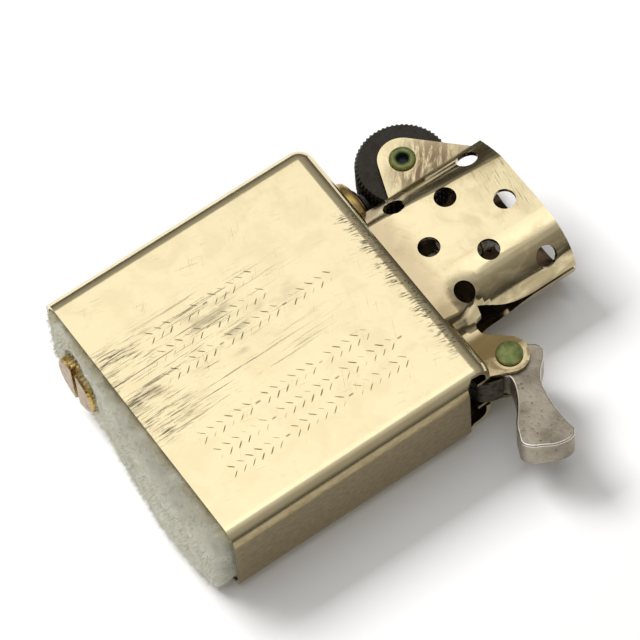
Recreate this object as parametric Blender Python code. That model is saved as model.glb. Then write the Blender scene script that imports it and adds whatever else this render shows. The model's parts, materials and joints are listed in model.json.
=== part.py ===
"""Inside unit of a flip-top pocket lighter, lying on its broad back face.

X runs across the unit, from the flint wheel side to the cam side. Y runs up the unit, from the felt
end to the top of the chimney. Z runs through its thickness and is 0 on the back face. Heights in this
script are counted from the felt end's rim. An empty then carries every piece down by half the can's
height, so the finished model's origin is the centre of the can's back face. Every size is in metres.
"""
import math

import bmesh
import bpy
from mathutils import Matrix, Vector
from mathutils.geometry import interpolate_bezier

MM = 0.001

# Can
CASE_WIDTH = 35.8 * MM
CASE_HEIGHT = 33.6 * MM
CASE_DEPTH = 11.6 * MM
CASE_WALL = 0.45 * MM
CASE_EDGE_RADIUS = 2.1 * MM
CASE_EDGE_STEPS = 10
NOTCH_WIDTH = 1.1 * MM
NOTCH_HEIGHT = 3.6 * MM
NOTCH_TAPER = 0.66 * MM

# Clearances
FIT_GAP = 0.15 * MM
SOFT_GAP = 0.3 * MM
TURN_GAP = 0.1 * MM

# Chimney, one formed sheet with ears for the wheel and for the cam
SHEET = 0.5 * MM
CHIMNEY_RISE = 16.1 * MM
CHIMNEY_INSET = 0.7 * MM
CHIMNEY_WHEEL_GAP = 3.1 * MM
CHIMNEY_CAM_GAP = 5.65 * MM
ROUND_RUN = 5.7 * MM
JOGGLE_RUN = 2.7 * MM
JOGGLE_SPREAD = 1.3 * MM
JOGGLE_STEPS = 6
JOGGLE_FLATNESS = 0.65
ROUND_STEPS = 14
SEAM_WIDTH = 0.5 * MM
SKIRT_DEPTH = 1.8 * MM
FLOOR_INSET = 1.6 * MM
CAM_STEP_INSET = 0.8 * MM
CAM_STEP_RUN = 1.8 * MM
BLEND_START = 1.0 * MM
BLEND_END = 5.4 * MM
BLEND_STEPS = 6
THROAT_RADIUS = 1.4 * MM
THROAT_SET = 0.4 * MM
CURTAIN_BOTTOM = 3.6 * MM
CURTAIN_TOP = 10.8 * MM
CURTAIN_HALF_WIDTH = 3.5 * MM
CURTAIN_FLARE = 1.9
HOLE_RADIUS = 1.25 * MM
HOLE_SIDES = 28
HOLE_ROW_RISE = 3.2 * MM
HOLE_ROW_STEP = 5.0 * MM
LOW_HOLE_INSETS = (1.9 * MM, 2.6 * MM)
MIDDLE_HOLE_INSETS = (4.5 * MM, 4.9 * MM)
TOP_HOLE_INSETS = (1.3 * MM, 1.3 * MM)
HOLE_CUT = 1.6 * MM
HOLE_SHIFT = -0.2 * MM
JOGGLE_HOLE_LEAN = -0.35
JOGGLE_HOLE_SINK = 0.4 * MM

# Flint wheel
WHEEL_RADIUS = 5.3 * MM
WHEEL_WIDTH = 4.6 * MM
WHEEL_INSET = 7.4 * MM
WHEEL_TUBE_GAP = 0.8 * MM
WHEEL_SIDE_GAP = 0.4 * MM
WHEEL_CHAMFER = 0.3 * MM
WHEEL_TEETH = 60
TOOTH_DEPTH = 0.22 * MM
WHEEL_EAR_RADIUS = 2.75 * MM
EAR_SLOPE = 20
WHEEL_RIVET_RADIUS = 1.0 * MM
WHEEL_RIVET_BORE = 0.65 * MM

# Cam
CAM_INSET = 2.25 * MM
CAM_RISE = 3.15 * MM
CAM_WIDTH = 4.1 * MM
CAM_SIDE_GAP = 0.2 * MM
CAM_HUB_RADIUS = 2.3 * MM
CAM_EAR_RADIUS = 2.2 * MM
CAM_RIVET_RADIUS = 0.95 * MM
RIVET_HEAD_RADIUS = 1.5 * MM
RIVET_HEAD_HEIGHT = 0.35 * MM
SPRING_LEAF = 0.35 * MM
SPRING_WIDTH = 3.8 * MM
SPRING_TAIL = 1.6 * MM
SPRING_FLAT = 2.4 * MM
SPRING_CAM_GAP = 0.175 * MM
SPRING_TIP_ANGLE = -52
SPRING_RIVET_RADIUS = 0.6 * MM
SPRING_RIVET_HEAD_RADIUS = 1.1 * MM
SPRING_RIVET_HEAD_HEIGHT = 0.4 * MM

# Flint feed
TUBE_INSET = 7.95 * MM
TUBE_RADIUS = 2.3 * MM
TUBE_BORE = 1.5 * MM
TUBE_RISE = 1.8 * MM
TUBE_FOOT = -0.45 * MM
COLLAR_RADIUS = 3.5 * MM
COLLAR_HEIGHT = 1.15 * MM
FLINT_RADIUS = 1.15 * MM
FLINT_LENGTH = 4.6 * MM
TIP_LENGTH = 2.2 * MM
SHANK_LENGTH = 5.0 * MM
SMALL_CHAMFER = 0.3 * MM
SCREW_HEAD_RADIUS = 3.4 * MM
SCREW_HEAD_HEIGHT = 1.4 * MM
SCREW_SLOT_WIDTH = 0.8 * MM
SCREW_SLOT_DEPTH = 0.7 * MM
KNURL_TEETH = 38
KNURL_DEPTH = 0.15 * MM
FEED_WIRE = 0.22 * MM
FEED_TURNS = 12

# Felt, packing and wick
FELT_THICKNESS = 4.0 * MM
FELT_HINGE_GAP = 1.1 * MM
FELT_WHEEL_BULGE = 0.6 * MM
FELT_CAM_BULGE = 2.2 * MM
FELT_CROWN = 1.15 * MM
FELT_CROWN_SKEW = 2.2
FELT_STEP = 4.0 * MM
FELT_EDGE_RADIUS = 0.8 * MM
PACKING_GAP = 0.6 * MM
PACKING_RADIUS = 1.2 * MM
WICK_RADIUS = 1.5 * MM
WICK_TOP_RISE = 10.8 * MM
WICK_WIRE = 0.12 * MM
WICK_TURNS = 9

# Places that follow from the sizes above
CENTRE_Z = CASE_DEPTH / 2
FRONT_Z = CASE_DEPTH - CHIMNEY_INSET
CHIMNEY_HALF_DEPTH = FRONT_Z - CENTRE_Z
CHIMNEY_TOP = CASE_HEIGHT + CHIMNEY_RISE
SKIRT_BOTTOM = CASE_HEIGHT - SKIRT_DEPTH
WHEEL_X = -CASE_WIDTH / 2 + WHEEL_INSET
WHEEL_Y = CASE_HEIGHT + TUBE_RISE + WHEEL_TUBE_GAP + WHEEL_RADIUS
WHEEL_EAR_Z = CENTRE_Z + WHEEL_WIDTH / 2 + WHEEL_SIDE_GAP + SHEET
CAM_X = CASE_WIDTH / 2 - CAM_INSET
CAM_Y = CASE_HEIGHT + CAM_RISE
CHIMNEY_LEFT = WHEEL_X + CHIMNEY_WHEEL_GAP
CHIMNEY_RIGHT = CAM_X - CHIMNEY_CAM_GAP
ROUND_START = CHIMNEY_RIGHT - ROUND_RUN
HOLE_CENTRE_X = (CHIMNEY_LEFT + CHIMNEY_RIGHT) / 2 + HOLE_SHIFT
WICK_X = HOLE_CENTRE_X
CAM_EAR_Z = CENTRE_Z + CAM_WIDTH / 2 + CAM_SIDE_GAP + SHEET
CAM_BASE_X = CASE_WIDTH / 2 - NOTCH_WIDTH - FIT_GAP
CAM_STEP_START = CHIMNEY_RIGHT - CAM_STEP_INSET
CAM_STEP_END = CAM_STEP_START + CAM_STEP_RUN
SPRING_RIVET_X = (CAM_STEP_START + CAM_STEP_END) / 2
FLOOR_LEFT = CHIMNEY_LEFT + FLOOR_INSET
FLOOR_RIGHT = CAM_STEP_END + FLOOR_INSET
TUBE_X = -CASE_WIDTH / 2 + TUBE_INSET
FELT_SIDE = CASE_WIDTH / 2 - CASE_WALL - SOFT_GAP
FELT_SPLIT_X = TUBE_X + SCREW_HEAD_RADIUS + FELT_HINGE_GAP
SEAM_HALF = SEAM_WIDTH / 2
MARGIN = 2.0 * MM
CARRIER = "unit_carrier"


# ---------------------------------------------------------------- helpers

def clear_scene():
    for item in list(bpy.data.objects):
        bpy.data.objects.remove(item, do_unlink=True)


def add_carrier():
    """Empty that every piece hangs on, so the origin falls in the middle of the can's back face."""
    carrier = bpy.data.objects.new(CARRIER, None)
    carrier.location = (0.0, -CASE_HEIGHT / 2, 0.0)
    bpy.context.scene.collection.objects.link(carrier)


def make_material(name, colour, roughness, metallic):
    material = bpy.data.materials.new(name)
    material.use_nodes = True
    shader = material.node_tree.nodes["Principled BSDF"]
    shader.inputs["Base Color"].default_value = (*colour, 1.0)
    shader.inputs["Roughness"].default_value = roughness
    shader.inputs["Metallic"].default_value = metallic
    return material


def add_object(name, mesh_builder, material=None, origin=(0.0, 0.0, 0.0), smooth_angle=40):
    """Make an object from a bmesh that is given in the shared frame, with its origin at a point."""
    mesh_builder.normal_update()
    bmesh.ops.recalc_face_normals(mesh_builder, faces=mesh_builder.faces)
    bmesh.ops.translate(mesh_builder, verts=mesh_builder.verts, vec=-Vector(origin))
    mesh = bpy.data.meshes.new(name)
    mesh_builder.to_mesh(mesh)
    mesh_builder.free()
    mesh.shade_smooth()
    mesh.set_sharp_from_angle(angle=math.radians(smooth_angle))
    item = bpy.data.objects.new(name, mesh)
    item.location = origin
    item.parent = bpy.data.objects[CARRIER]
    bpy.context.scene.collection.objects.link(item)
    if material:
        mesh.materials.append(material)
    return item


def combine(item, cutter, operation):
    """Apply a cutter, joiner or common shape to an object and hide it."""
    cutter.hide_render = True
    cutter.display_type = "WIRE"
    modifier = item.modifiers.new(cutter.name, "BOOLEAN")
    modifier.operation = operation
    modifier.solver = "EXACT"
    modifier.object = cutter


def prism(points, plane, low, high):
    """Extrude a closed outline. The plane names the two axes that the points are given on."""
    axes = {"XY": (0, 1, 2), "XZ": (0, 2, 1), "YZ": (1, 2, 0)}[plane]
    builder = bmesh.new()
    verts = []
    for first, second in points:
        place = [0.0, 0.0, 0.0]
        place[axes[0]], place[axes[1]], place[axes[2]] = first, second, low
        verts.append(builder.verts.new(place))
    face = builder.faces.new(verts)
    step = [0.0, 0.0, 0.0]
    step[axes[2]] = high - low
    grown = bmesh.ops.extrude_face_region(builder, geom=[face])
    moved = [part for part in grown["geom"] if isinstance(part, bmesh.types.BMVert)]
    bmesh.ops.translate(builder, verts=moved, vec=step)
    return builder


def box(low, high):
    builder = bmesh.new()
    bmesh.ops.create_cube(builder, size=1.0)
    size = Vector(high) - Vector(low)
    middle = (Vector(high) + Vector(low)) / 2
    bmesh.ops.transform(
        builder, verts=builder.verts, matrix=Matrix.Translation(middle) @ Matrix.Diagonal((*size, 1.0))
    )
    return builder


def rounded_box(low, high, radius):
    builder = box(low, high)
    bmesh.ops.bevel(
        builder, geom=builder.edges[:], offset=radius, offset_type="OFFSET", segments=2,
        profile=0.5, affect="EDGES", material=-1,
    )
    return builder


def aim(direction):
    """Rotation that turns +Z to a direction."""
    return Vector(direction).normalized().to_track_quat("Z", "Y").to_matrix().to_4x4()


def turned(profile, base, direction, sides=32, closed=False):
    """Turn a profile of (radius, height) pairs about an axis. A closed profile makes a ring."""
    builder = bmesh.new()
    rings = []
    for radius, height in profile:
        ring = []
        for index in range(sides):
            angle = 2 * math.pi * index / sides
            ring.append(builder.verts.new((radius * math.cos(angle), radius * math.sin(angle), height)))
        rings.append(ring)
    pairs = list(zip(rings, rings[1:]))
    if closed:
        pairs.append((rings[-1], rings[0]))
    for lower, upper in pairs:
        for index in range(sides):
            after = (index + 1) % sides
            builder.faces.new((lower[index], lower[after], upper[after], upper[index]))
    if not closed:
        builder.faces.new(rings[0][::-1])
        builder.faces.new(rings[-1])
    bmesh.ops.transform(
        builder, verts=builder.verts, matrix=Matrix.Translation(base) @ aim(direction)
    )
    return builder


def rod(radius, base, direction, length, sides=32):
    return turned(((radius, 0.0), (radius, length)), base, direction, sides)


def arc(centre, radius, start, end, steps):
    """Points on a circle, with the angles in degrees."""
    points = []
    for index in range(steps + 1):
        angle = math.radians(start + (end - start) * index / steps)
        points.append((centre[0] + radius * math.cos(angle), centre[1] + radius * math.sin(angle)))
    return points


def offset_path(points, distance):
    """Shift an open path sideways, to the right of its direction, with mitred corners."""
    shifted = []
    for index, point in enumerate(points):
        before = points[max(index - 1, 0)]
        after = points[min(index + 1, len(points) - 1)]
        normals = []
        for start, end in ((before, point), (point, after)):
            run = Vector((end[0] - start[0], end[1] - start[1]))
            if run.length > 1e-9:
                run.normalize()
                normals.append(Vector((run.y, -run.x)))
        normal = sum(normals, Vector((0.0, 0.0))).normalized()
        stretch = distance / max(normal.dot(normals[0]), 0.5)
        shifted.append((point[0] + normal.x * stretch, point[1] + normal.y * stretch))
    return shifted


def mirrored(points):
    """The same outline behind the unit's middle plane, for points given as (x, z)."""
    return [(x, CASE_DEPTH - z) for x, z in points]


def wire(name, points, radius, material, resolution=1):
    curve = bpy.data.curves.new(name, "CURVE")
    curve.dimensions = "3D"
    curve.bevel_depth = radius
    curve.bevel_resolution = resolution
    curve.use_fill_caps = True
    spline = curve.splines.new("POLY")
    spline.points.add(len(points) - 1)
    for slot, point in zip(spline.points, points):
        slot.co = (*point, 1.0)
    curve.materials.append(material)
    item = bpy.data.objects.new(name, curve)
    item.parent = bpy.data.objects[CARRIER]
    bpy.context.scene.collection.objects.link(item)
    return item


def helix(base, radius, pitch, turns, steps_per_turn):
    """Points of a coil whose axis is +Y."""
    points = []
    for index in range(turns * steps_per_turn + 1):
        angle = 2 * math.pi * index / steps_per_turn
        points.append((
            base[0] + radius * math.cos(angle),
            base[1] + pitch * index / steps_per_turn,
            base[2] + radius * math.sin(angle),
        ))
    return points


# ---------------------------------------------------------------- can

def can_block(inset):
    """The can's outer shape, or its hollow when inset by the wall, open past the felt end."""
    foot = 0.0 if inset == 0 else -MARGIN
    half = CASE_WIDTH / 2 - inset
    builder = box((-half, foot, inset), (half, CASE_HEIGHT - inset, CASE_DEPTH - inset))
    edges = [
        edge for edge in builder.edges
        if any(vert.co.y > CASE_HEIGHT / 2 for vert in edge.verts)
    ]
    bmesh.ops.bevel(
        builder, geom=edges, offset=CASE_EDGE_RADIUS - inset, offset_type="OFFSET",
        segments=CASE_EDGE_STEPS, profile=0.5, affect="EDGES", material=-1,
    )
    return builder


def make_case(brass):
    case = add_object("case_shell", can_block(0.0), brass)
    combine(case, add_object("cutter_case_hollow", can_block(CASE_WALL)), "DIFFERENCE")

    foot = chimney_section(SKIRT_BOTTOM)[1:] + [(CASE_WIDTH / 2, CAM_EAR_Z)]
    outer = offset_path(foot, -FIT_GAP)
    outer[0] = (CHIMNEY_LEFT - FIT_GAP, outer[0][1])
    inner_z = WHEEL_EAR_Z - SHEET - FIT_GAP
    left_z = CASE_DEPTH - inner_z
    window = (
        outer + mirrored(outer)[::-1]
        + [(CHIMNEY_LEFT - FIT_GAP, left_z), (FLOOR_LEFT - FIT_GAP, left_z)]
        + [(FLOOR_LEFT - FIT_GAP, inner_z), (CHIMNEY_LEFT - FIT_GAP, inner_z)]
    )
    low = CASE_HEIGHT - CASE_EDGE_RADIUS
    combine(case, add_object("cutter_window", prism(window, "XZ", low, CASE_HEIGHT + MARGIN)), "DIFFERENCE")

    notch_left = CASE_WIDTH / 2 - NOTCH_WIDTH
    notch_foot = CASE_HEIGHT - NOTCH_HEIGHT
    notch = [
        (notch_left + NOTCH_TAPER, notch_foot), (CASE_WIDTH / 2 + MARGIN, notch_foot),
        (CASE_WIDTH / 2 + MARGIN, CASE_HEIGHT + MARGIN), (notch_left, CASE_HEIGHT + MARGIN),
        (notch_left, notch_foot + NOTCH_WIDTH),
    ]
    notch_block = prism(notch, "XY", -MARGIN, CASE_DEPTH + MARGIN)
    combine(case, add_object("cutter_notch", notch_block), "DIFFERENCE")
    tube_hole = rod(TUBE_RADIUS + FIT_GAP, (TUBE_X, low, CENTRE_Z), (0, 1, 0), MARGIN * 2)
    combine(case, add_object("cutter_tube_hole", tube_hole), "DIFFERENCE")


# ---------------------------------------------------------------- chimney

def smooth_step(value):
    value = min(max(value, 0.0), 1.0)
    return value * value * (3 - 2 * value)


def chimney_section(y):
    """Outer face of the sheet's front half at one height, from the wheel ear to the cam side."""
    blend = smooth_step((y - CASE_HEIGHT - BLEND_START) / (BLEND_END - BLEND_START))
    run = JOGGLE_RUN + JOGGLE_SPREAD * max(y - CASE_HEIGHT, 0.0) / CHIMNEY_RISE
    rise = FRONT_Z - WHEEL_EAR_Z
    points = [(WHEEL_X - WHEEL_EAR_RADIUS - MARGIN, WHEEL_EAR_Z), (CHIMNEY_LEFT, WHEEL_EAR_Z)]
    for index in range(1, JOGGLE_STEPS + 1):
        share = index / JOGGLE_STEPS
        curve = math.sin(share * math.pi / 2)
        height = JOGGLE_FLATNESS * share + (1 - JOGGLE_FLATNESS) * curve
        points.append((CHIMNEY_LEFT + run * share, WHEEL_EAR_Z + rise * height))

    flat = 0.5
    step = 0.8
    last_angle = math.acos(SEAM_HALF / CHIMNEY_HALF_DEPTH)
    for index in range(ROUND_STEPS + 1):
        share = index / ROUND_STEPS
        if share < flat:
            foot_x = ROUND_START + (CAM_STEP_START - ROUND_START) * share / flat
            foot_z = FRONT_Z
        else:
            along = min((share - flat) / (step - flat), 1.0)
            beyond = max(share - step, 0.0) / (1 - step)
            foot_x = CAM_STEP_START + CAM_STEP_RUN * along + SHEET * 2 * beyond
            foot_z = FRONT_Z + (CAM_EAR_Z - FRONT_Z) * smooth_step(along)
        angle = last_angle * share
        round_x = ROUND_START + ROUND_RUN * math.sin(angle)
        round_z = CENTRE_Z + CHIMNEY_HALF_DEPTH * math.cos(angle)
        points.append((foot_x + (round_x - foot_x) * blend, foot_z + (round_z - foot_z) * blend))
    return points


def sheet_half(flip):
    """Loft the sheet between sections up the chimney. The back half mirrors the front."""
    run = BLEND_END - BLEND_START
    blends = [CASE_HEIGHT + BLEND_START + run * index / BLEND_STEPS for index in range(BLEND_STEPS + 1)]
    heights = [SKIRT_BOTTOM, *blends, CHIMNEY_TOP]
    builder = bmesh.new()
    loops = []
    for y in heights:
        outer = chimney_section(y)
        inner = offset_path(outer, SHEET)
        section = outer + inner[::-1]
        if flip:
            section = mirrored(section)
        loops.append([builder.verts.new((x, y, z)) for x, z in section])
    for lower, upper in zip(loops, loops[1:]):
        for index in range(len(lower)):
            after = (index + 1) % len(lower)
            builder.faces.new((lower[index], lower[after], upper[after], upper[index]))
    for loop in (loops[0], loops[-1]):
        for index in range(len(loop) // 2 - 1):
            builder.faces.new((loop[index], loop[index + 1], loop[-index - 2], loop[-index - 1]))
    bmesh.ops.triangulate(builder, faces=builder.faces[:])
    return builder


def chimney_outline():
    """Front view of the whole sheet, as (x, y), with the wheel ear at the left and the cam ear right."""
    wheel = (WHEEL_X, WHEEL_Y)
    cam = (CAM_X, CAM_Y)
    wheel_top = arc(wheel, WHEEL_EAR_RADIUS, 135, 250, 14)
    upper = wheel_top[0]
    lower = wheel_top[-1]
    slope = math.tan(math.radians(EAR_SLOPE))
    cam_arc = arc(cam, CAM_EAR_RADIUS, -30, 140, 16)
    throat = (CAM_STEP_END + THROAT_SET, CASE_HEIGHT + CURTAIN_BOTTOM)
    edge = CHIMNEY_RIGHT + FIT_GAP
    return (
        [(CHIMNEY_LEFT, SKIRT_BOTTOM - MARGIN), (CAM_BASE_X, SKIRT_BOTTOM - MARGIN)]
        + [(CAM_BASE_X, CASE_HEIGHT)] + cam_arc
        + arc(throat, THROAT_RADIUS, -20, -160, 8)
        + [(CHIMNEY_RIGHT - THROAT_SET, throat[1] + THROAT_SET * 2), (edge, throat[1] + MARGIN)]
        + [(edge, CHIMNEY_TOP + MARGIN), (CHIMNEY_LEFT, CHIMNEY_TOP + MARGIN)]
        + [(CHIMNEY_LEFT, upper[1] + CHIMNEY_LEFT - upper[0])] + wheel_top
        + [(CHIMNEY_LEFT, lower[1] - (CHIMNEY_LEFT - lower[0]) * slope)]
    )


def curtain_outline():
    """Side view of the opening that the cam swings into: wide at its foot, closing to the seam."""
    foot = CASE_HEIGHT + CURTAIN_BOTTOM
    head = CASE_HEIGHT + CURTAIN_TOP
    slit = SEAM_HALF * 0.9
    steps = 10
    right = []
    for index in range(steps + 1):
        share = index / steps
        half = slit + (CURTAIN_HALF_WIDTH - slit) * (1 - share) ** CURTAIN_FLARE
        right.append((foot + (head - foot) * share, CENTRE_Z + half))
    return right + [(y, CASE_DEPTH - z) for y, z in right[::-1]]


def hole_places():
    """Middle of each front hole with the direction that it is pierced along."""
    rows = (
        (LOW_HOLE_INSETS, (HOLE_CENTRE_X,)), (MIDDLE_HOLE_INSETS, ()), (TOP_HOLE_INSETS, (HOLE_CENTRE_X,)),
    )
    places = []
    for row, ((left, right), centre) in enumerate(rows):
        y = CASE_HEIGHT + HOLE_ROW_RISE + HOLE_ROW_STEP * row
        for x in (CHIMNEY_LEFT + left, *centre, CHIMNEY_RIGHT - right):
            lean = 0.0
            z = FRONT_Z
            if x > ROUND_START:
                angle = math.asin((x - ROUND_START) / ROUND_RUN)
                z = CENTRE_Z + CHIMNEY_HALF_DEPTH * math.cos(angle)
                lean = math.tan(angle) * CHIMNEY_HALF_DEPTH / ROUND_RUN
            elif x < CHIMNEY_LEFT + JOGGLE_RUN:
                z = FRONT_Z - JOGGLE_HOLE_SINK
                lean = JOGGLE_HOLE_LEAN
            places.append(((x, y, z), (lean, 0.0, 1.0)))
    return places


def floor_outline():
    """Plate that closes the chimney's foot, as (x, z), running into the middle of the sheet all round."""
    ear_z = WHEEL_EAR_Z - SHEET / 2
    front_z = FRONT_Z - SHEET / 2
    cam_z = CAM_EAR_Z - SHEET / 2
    front = [
        (FLOOR_LEFT, ear_z), (CHIMNEY_LEFT + JOGGLE_RUN, front_z), (CAM_STEP_START, front_z),
        (CAM_STEP_END, cam_z), (FLOOR_RIGHT, cam_z),
    ]
    return mirrored(front) + front[::-1]


def make_chimney(brass):
    chimney = add_object("chimney", sheet_half(False), brass)
    combine(chimney, add_object("joiner_back_sheet", sheet_half(True)), "UNION")
    overlap = SHEET / 20
    front_low = CAM_EAR_Z - SHEET - overlap
    for side, low_z in (("front", front_low), ("back", CASE_DEPTH - front_low - SHEET)):
        ear = box(
            (CAM_STEP_END + SHEET / 2, SKIRT_BOTTOM + overlap, low_z),
            (CASE_WIDTH / 2 + MARGIN, CAM_Y + CAM_EAR_RADIUS + MARGIN, low_z + SHEET),
        )
        combine(chimney, add_object(f"joiner_{side}_cam_ear", ear), "UNION")
    outline = prism(chimney_outline(), "XY", -MARGIN, CASE_DEPTH + MARGIN)
    combine(chimney, add_object("common_outline", outline), "INTERSECT")
    curtain = prism(curtain_outline(), "YZ", ROUND_START + ROUND_RUN * 0.6, CAM_STEP_END + SHEET * 2)
    combine(chimney, add_object("cutter_curtain", curtain), "DIFFERENCE")
    plate = prism(floor_outline(), "XZ", SKIRT_BOTTOM, SKIRT_BOTTOM + SHEET)
    combine(chimney, add_object("joiner_floor", plate), "UNION")

    for number, (place, lean) in enumerate(hole_places()):
        for side, sign in (("front", 1), ("back", -1)):
            direction = Vector((lean[0], 0.0, lean[2] * sign)).normalized()
            middle = Vector((place[0], place[1], CENTRE_Z + (place[2] - CENTRE_Z) * sign))
            start = middle - direction * HOLE_CUT
            hole = rod(HOLE_RADIUS, start, direction, HOLE_CUT * 2, HOLE_SIDES)
            combine(chimney, add_object(f"cutter_{side}_hole_{number}", hole), "DIFFERENCE")
    through = CASE_DEPTH + MARGIN * 2
    for name, x, y, radius in (
        ("wheel", WHEEL_X, WHEEL_Y, WHEEL_RIVET_RADIUS), ("cam", CAM_X, CAM_Y, CAM_RIVET_RADIUS),
    ):
        bore = rod(radius + TURN_GAP, (x, y, -MARGIN), (0, 0, 1), through, 24)
        combine(chimney, add_object(f"cutter_{name}_bore", bore), "DIFFERENCE")
    for name, x, radius in (
        ("wick", WICK_X, WICK_RADIUS + SOFT_GAP),
        ("spring_rivet", SPRING_RIVET_X, SPRING_RIVET_RADIUS + FIT_GAP),
    ):
        bore = rod(radius, (x, SKIRT_BOTTOM - MARGIN, CENTRE_Z), (0, 1, 0), MARGIN * 2, 24)
        combine(chimney, add_object(f"cutter_{name}_hole", bore), "DIFFERENCE")


# ---------------------------------------------------------------- flint wheel

def toothed(rings, teeth, axis):
    """Solid lofted through toothed rings, each given as (height, radius, tooth depth)."""
    builder = bmesh.new()
    loops = []
    for height, radius, depth in rings:
        loop = []
        for index in range(teeth * 2):
            angle = math.pi * index / teeth
            reach = radius - (depth if index % 2 else 0.0)
            loop.append(builder.verts.new((reach * math.cos(angle), reach * math.sin(angle), height)))
        loops.append(loop)
    for lower, upper in zip(loops, loops[1:]):
        for index in range(len(lower)):
            after = (index + 1) % len(lower)
            builder.faces.new((lower[index], lower[after], upper[after], upper[index]))
    builder.faces.new(loops[0])
    builder.faces.new(loops[-1])
    bmesh.ops.transform(builder, verts=builder.verts, matrix=axis)
    return builder


def make_wheel(steel, brass):
    axis = (WHEEL_X, WHEEL_Y, CENTRE_Z)
    side = WHEEL_WIDTH / 2
    shoulder = side - WHEEL_CHAMFER
    rim = WHEEL_RADIUS - WHEEL_CHAMFER
    rings = (
        (-side, rim, TOOTH_DEPTH), (-shoulder, WHEEL_RADIUS, TOOTH_DEPTH),
        (shoulder, WHEEL_RADIUS, TOOTH_DEPTH), (side, rim, TOOTH_DEPTH),
    )
    builder = toothed(rings, WHEEL_TEETH, Matrix.Translation(axis))
    wheel = add_object("flint_wheel", builder, steel, origin=axis, smooth_angle=20)
    through = CASE_DEPTH + MARGIN * 2
    bore = rod(WHEEL_RIVET_RADIUS + TURN_GAP, (WHEEL_X, WHEEL_Y, -MARGIN), (0, 0, 1), through, 24)
    combine(wheel, add_object("cutter_wheel_axle", bore), "DIFFERENCE")

    half = WHEEL_EAR_Z - CENTRE_Z + TURN_GAP
    head = half + RIVET_HEAD_HEIGHT
    shaft = WHEEL_RIVET_RADIUS
    profile = [
        (shaft, -half), (shaft, half), (RIVET_HEAD_RADIUS, half),
        (RIVET_HEAD_RADIUS, half + RIVET_HEAD_HEIGHT * 0.5),
        ((RIVET_HEAD_RADIUS + WHEEL_RIVET_BORE) / 2, head),
        (WHEEL_RIVET_BORE, half + RIVET_HEAD_HEIGHT * 0.4),
        (WHEEL_RIVET_BORE, -half - RIVET_HEAD_HEIGHT * 0.4),
        ((RIVET_HEAD_RADIUS + WHEEL_RIVET_BORE) / 2, -head),
        (RIVET_HEAD_RADIUS, -half - RIVET_HEAD_HEIGHT * 0.5), (RIVET_HEAD_RADIUS, -half),
    ]
    add_object("wheel_rivet", turned(profile, axis, (0, 0, 1), 24, closed=True), brass)


# ---------------------------------------------------------------- cam

def cam_outline():
    """Boot shape of the lever about its pivot: a round hub, a heel above it and a toe at its end."""
    hub = arc((0.0, 0.0), CAM_HUB_RADIUS, 100, 310, 20)
    knots = (
        ((1.48, -1.76), (1.9, -1.45)), ((4.7, -2.45), (5.6, -3.1)), ((7.9, -4.65), (8.8, -5.05)),
        ((10.6, -3.5), (11.3, -2.4)), ((11.45, 0.1), (10.9, 0.55)), ((6.3, 0.55), (4.9, 0.8)),
        ((2.35, 2.7), (1.7, 3.25)), ((0.3, 3.15), (-0.1, 2.7)),
    )
    points = [Vector((x, y)) for x, y in hub]
    handles = (
        ((2.6, -1.3), (3.6, -1.8)), ((6.3, -3.7), (7.0, -4.4)), ((9.5, -5.2), (10.2, -4.4)),
        ((11.7, -1.3), (11.8, -0.3)), ((9.6, 0.35), (7.8, 0.3)), ((3.7, 1.1), (2.9, 2.0)),
        ((1.2, 3.65), (0.7, 3.5)),
    )
    for (start, end), (first, second) in zip(zip(knots, knots[1:]), handles):
        corners = [Vector(pair) * MM for pair in (start[1], first, second, end[0])]
        points.extend(interpolate_bezier(corners[0], corners[1], corners[2], corners[3], 6))
    return [(point[0], point[1]) for point in points]


def make_cam(steel, brass):
    axis = (CAM_X, CAM_Y, CENTRE_Z)
    outline = [(CAM_X + x, CAM_Y + y) for x, y in cam_outline()]
    half = CAM_WIDTH / 2
    builder = prism(outline, "XY", CENTRE_Z - half, CENTRE_Z + half)
    cam = add_object("cam", builder, steel, origin=axis)
    through = CASE_DEPTH + MARGIN * 2
    bore = rod(CAM_RIVET_RADIUS + TURN_GAP, (CAM_X, CAM_Y, -MARGIN), (0, 0, 1), through, 24)
    combine(cam, add_object("cutter_cam_axle", bore), "DIFFERENCE")

    reach = CAM_EAR_Z - CENTRE_Z + TURN_GAP
    dome = RIVET_HEAD_HEIGHT
    profile = [
        (RIVET_HEAD_RADIUS * 0.6, -reach - dome), (RIVET_HEAD_RADIUS * 0.92, -reach - dome * 0.6),
        (RIVET_HEAD_RADIUS, -reach), (CAM_RIVET_RADIUS, -reach), (CAM_RIVET_RADIUS, reach),
        (RIVET_HEAD_RADIUS, reach), (RIVET_HEAD_RADIUS * 0.92, reach + dome * 0.6),
        (RIVET_HEAD_RADIUS * 0.6, reach + dome),
    ]
    add_object("cam_rivet", turned(profile, axis, (0, 0, 1), 24), brass)


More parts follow.
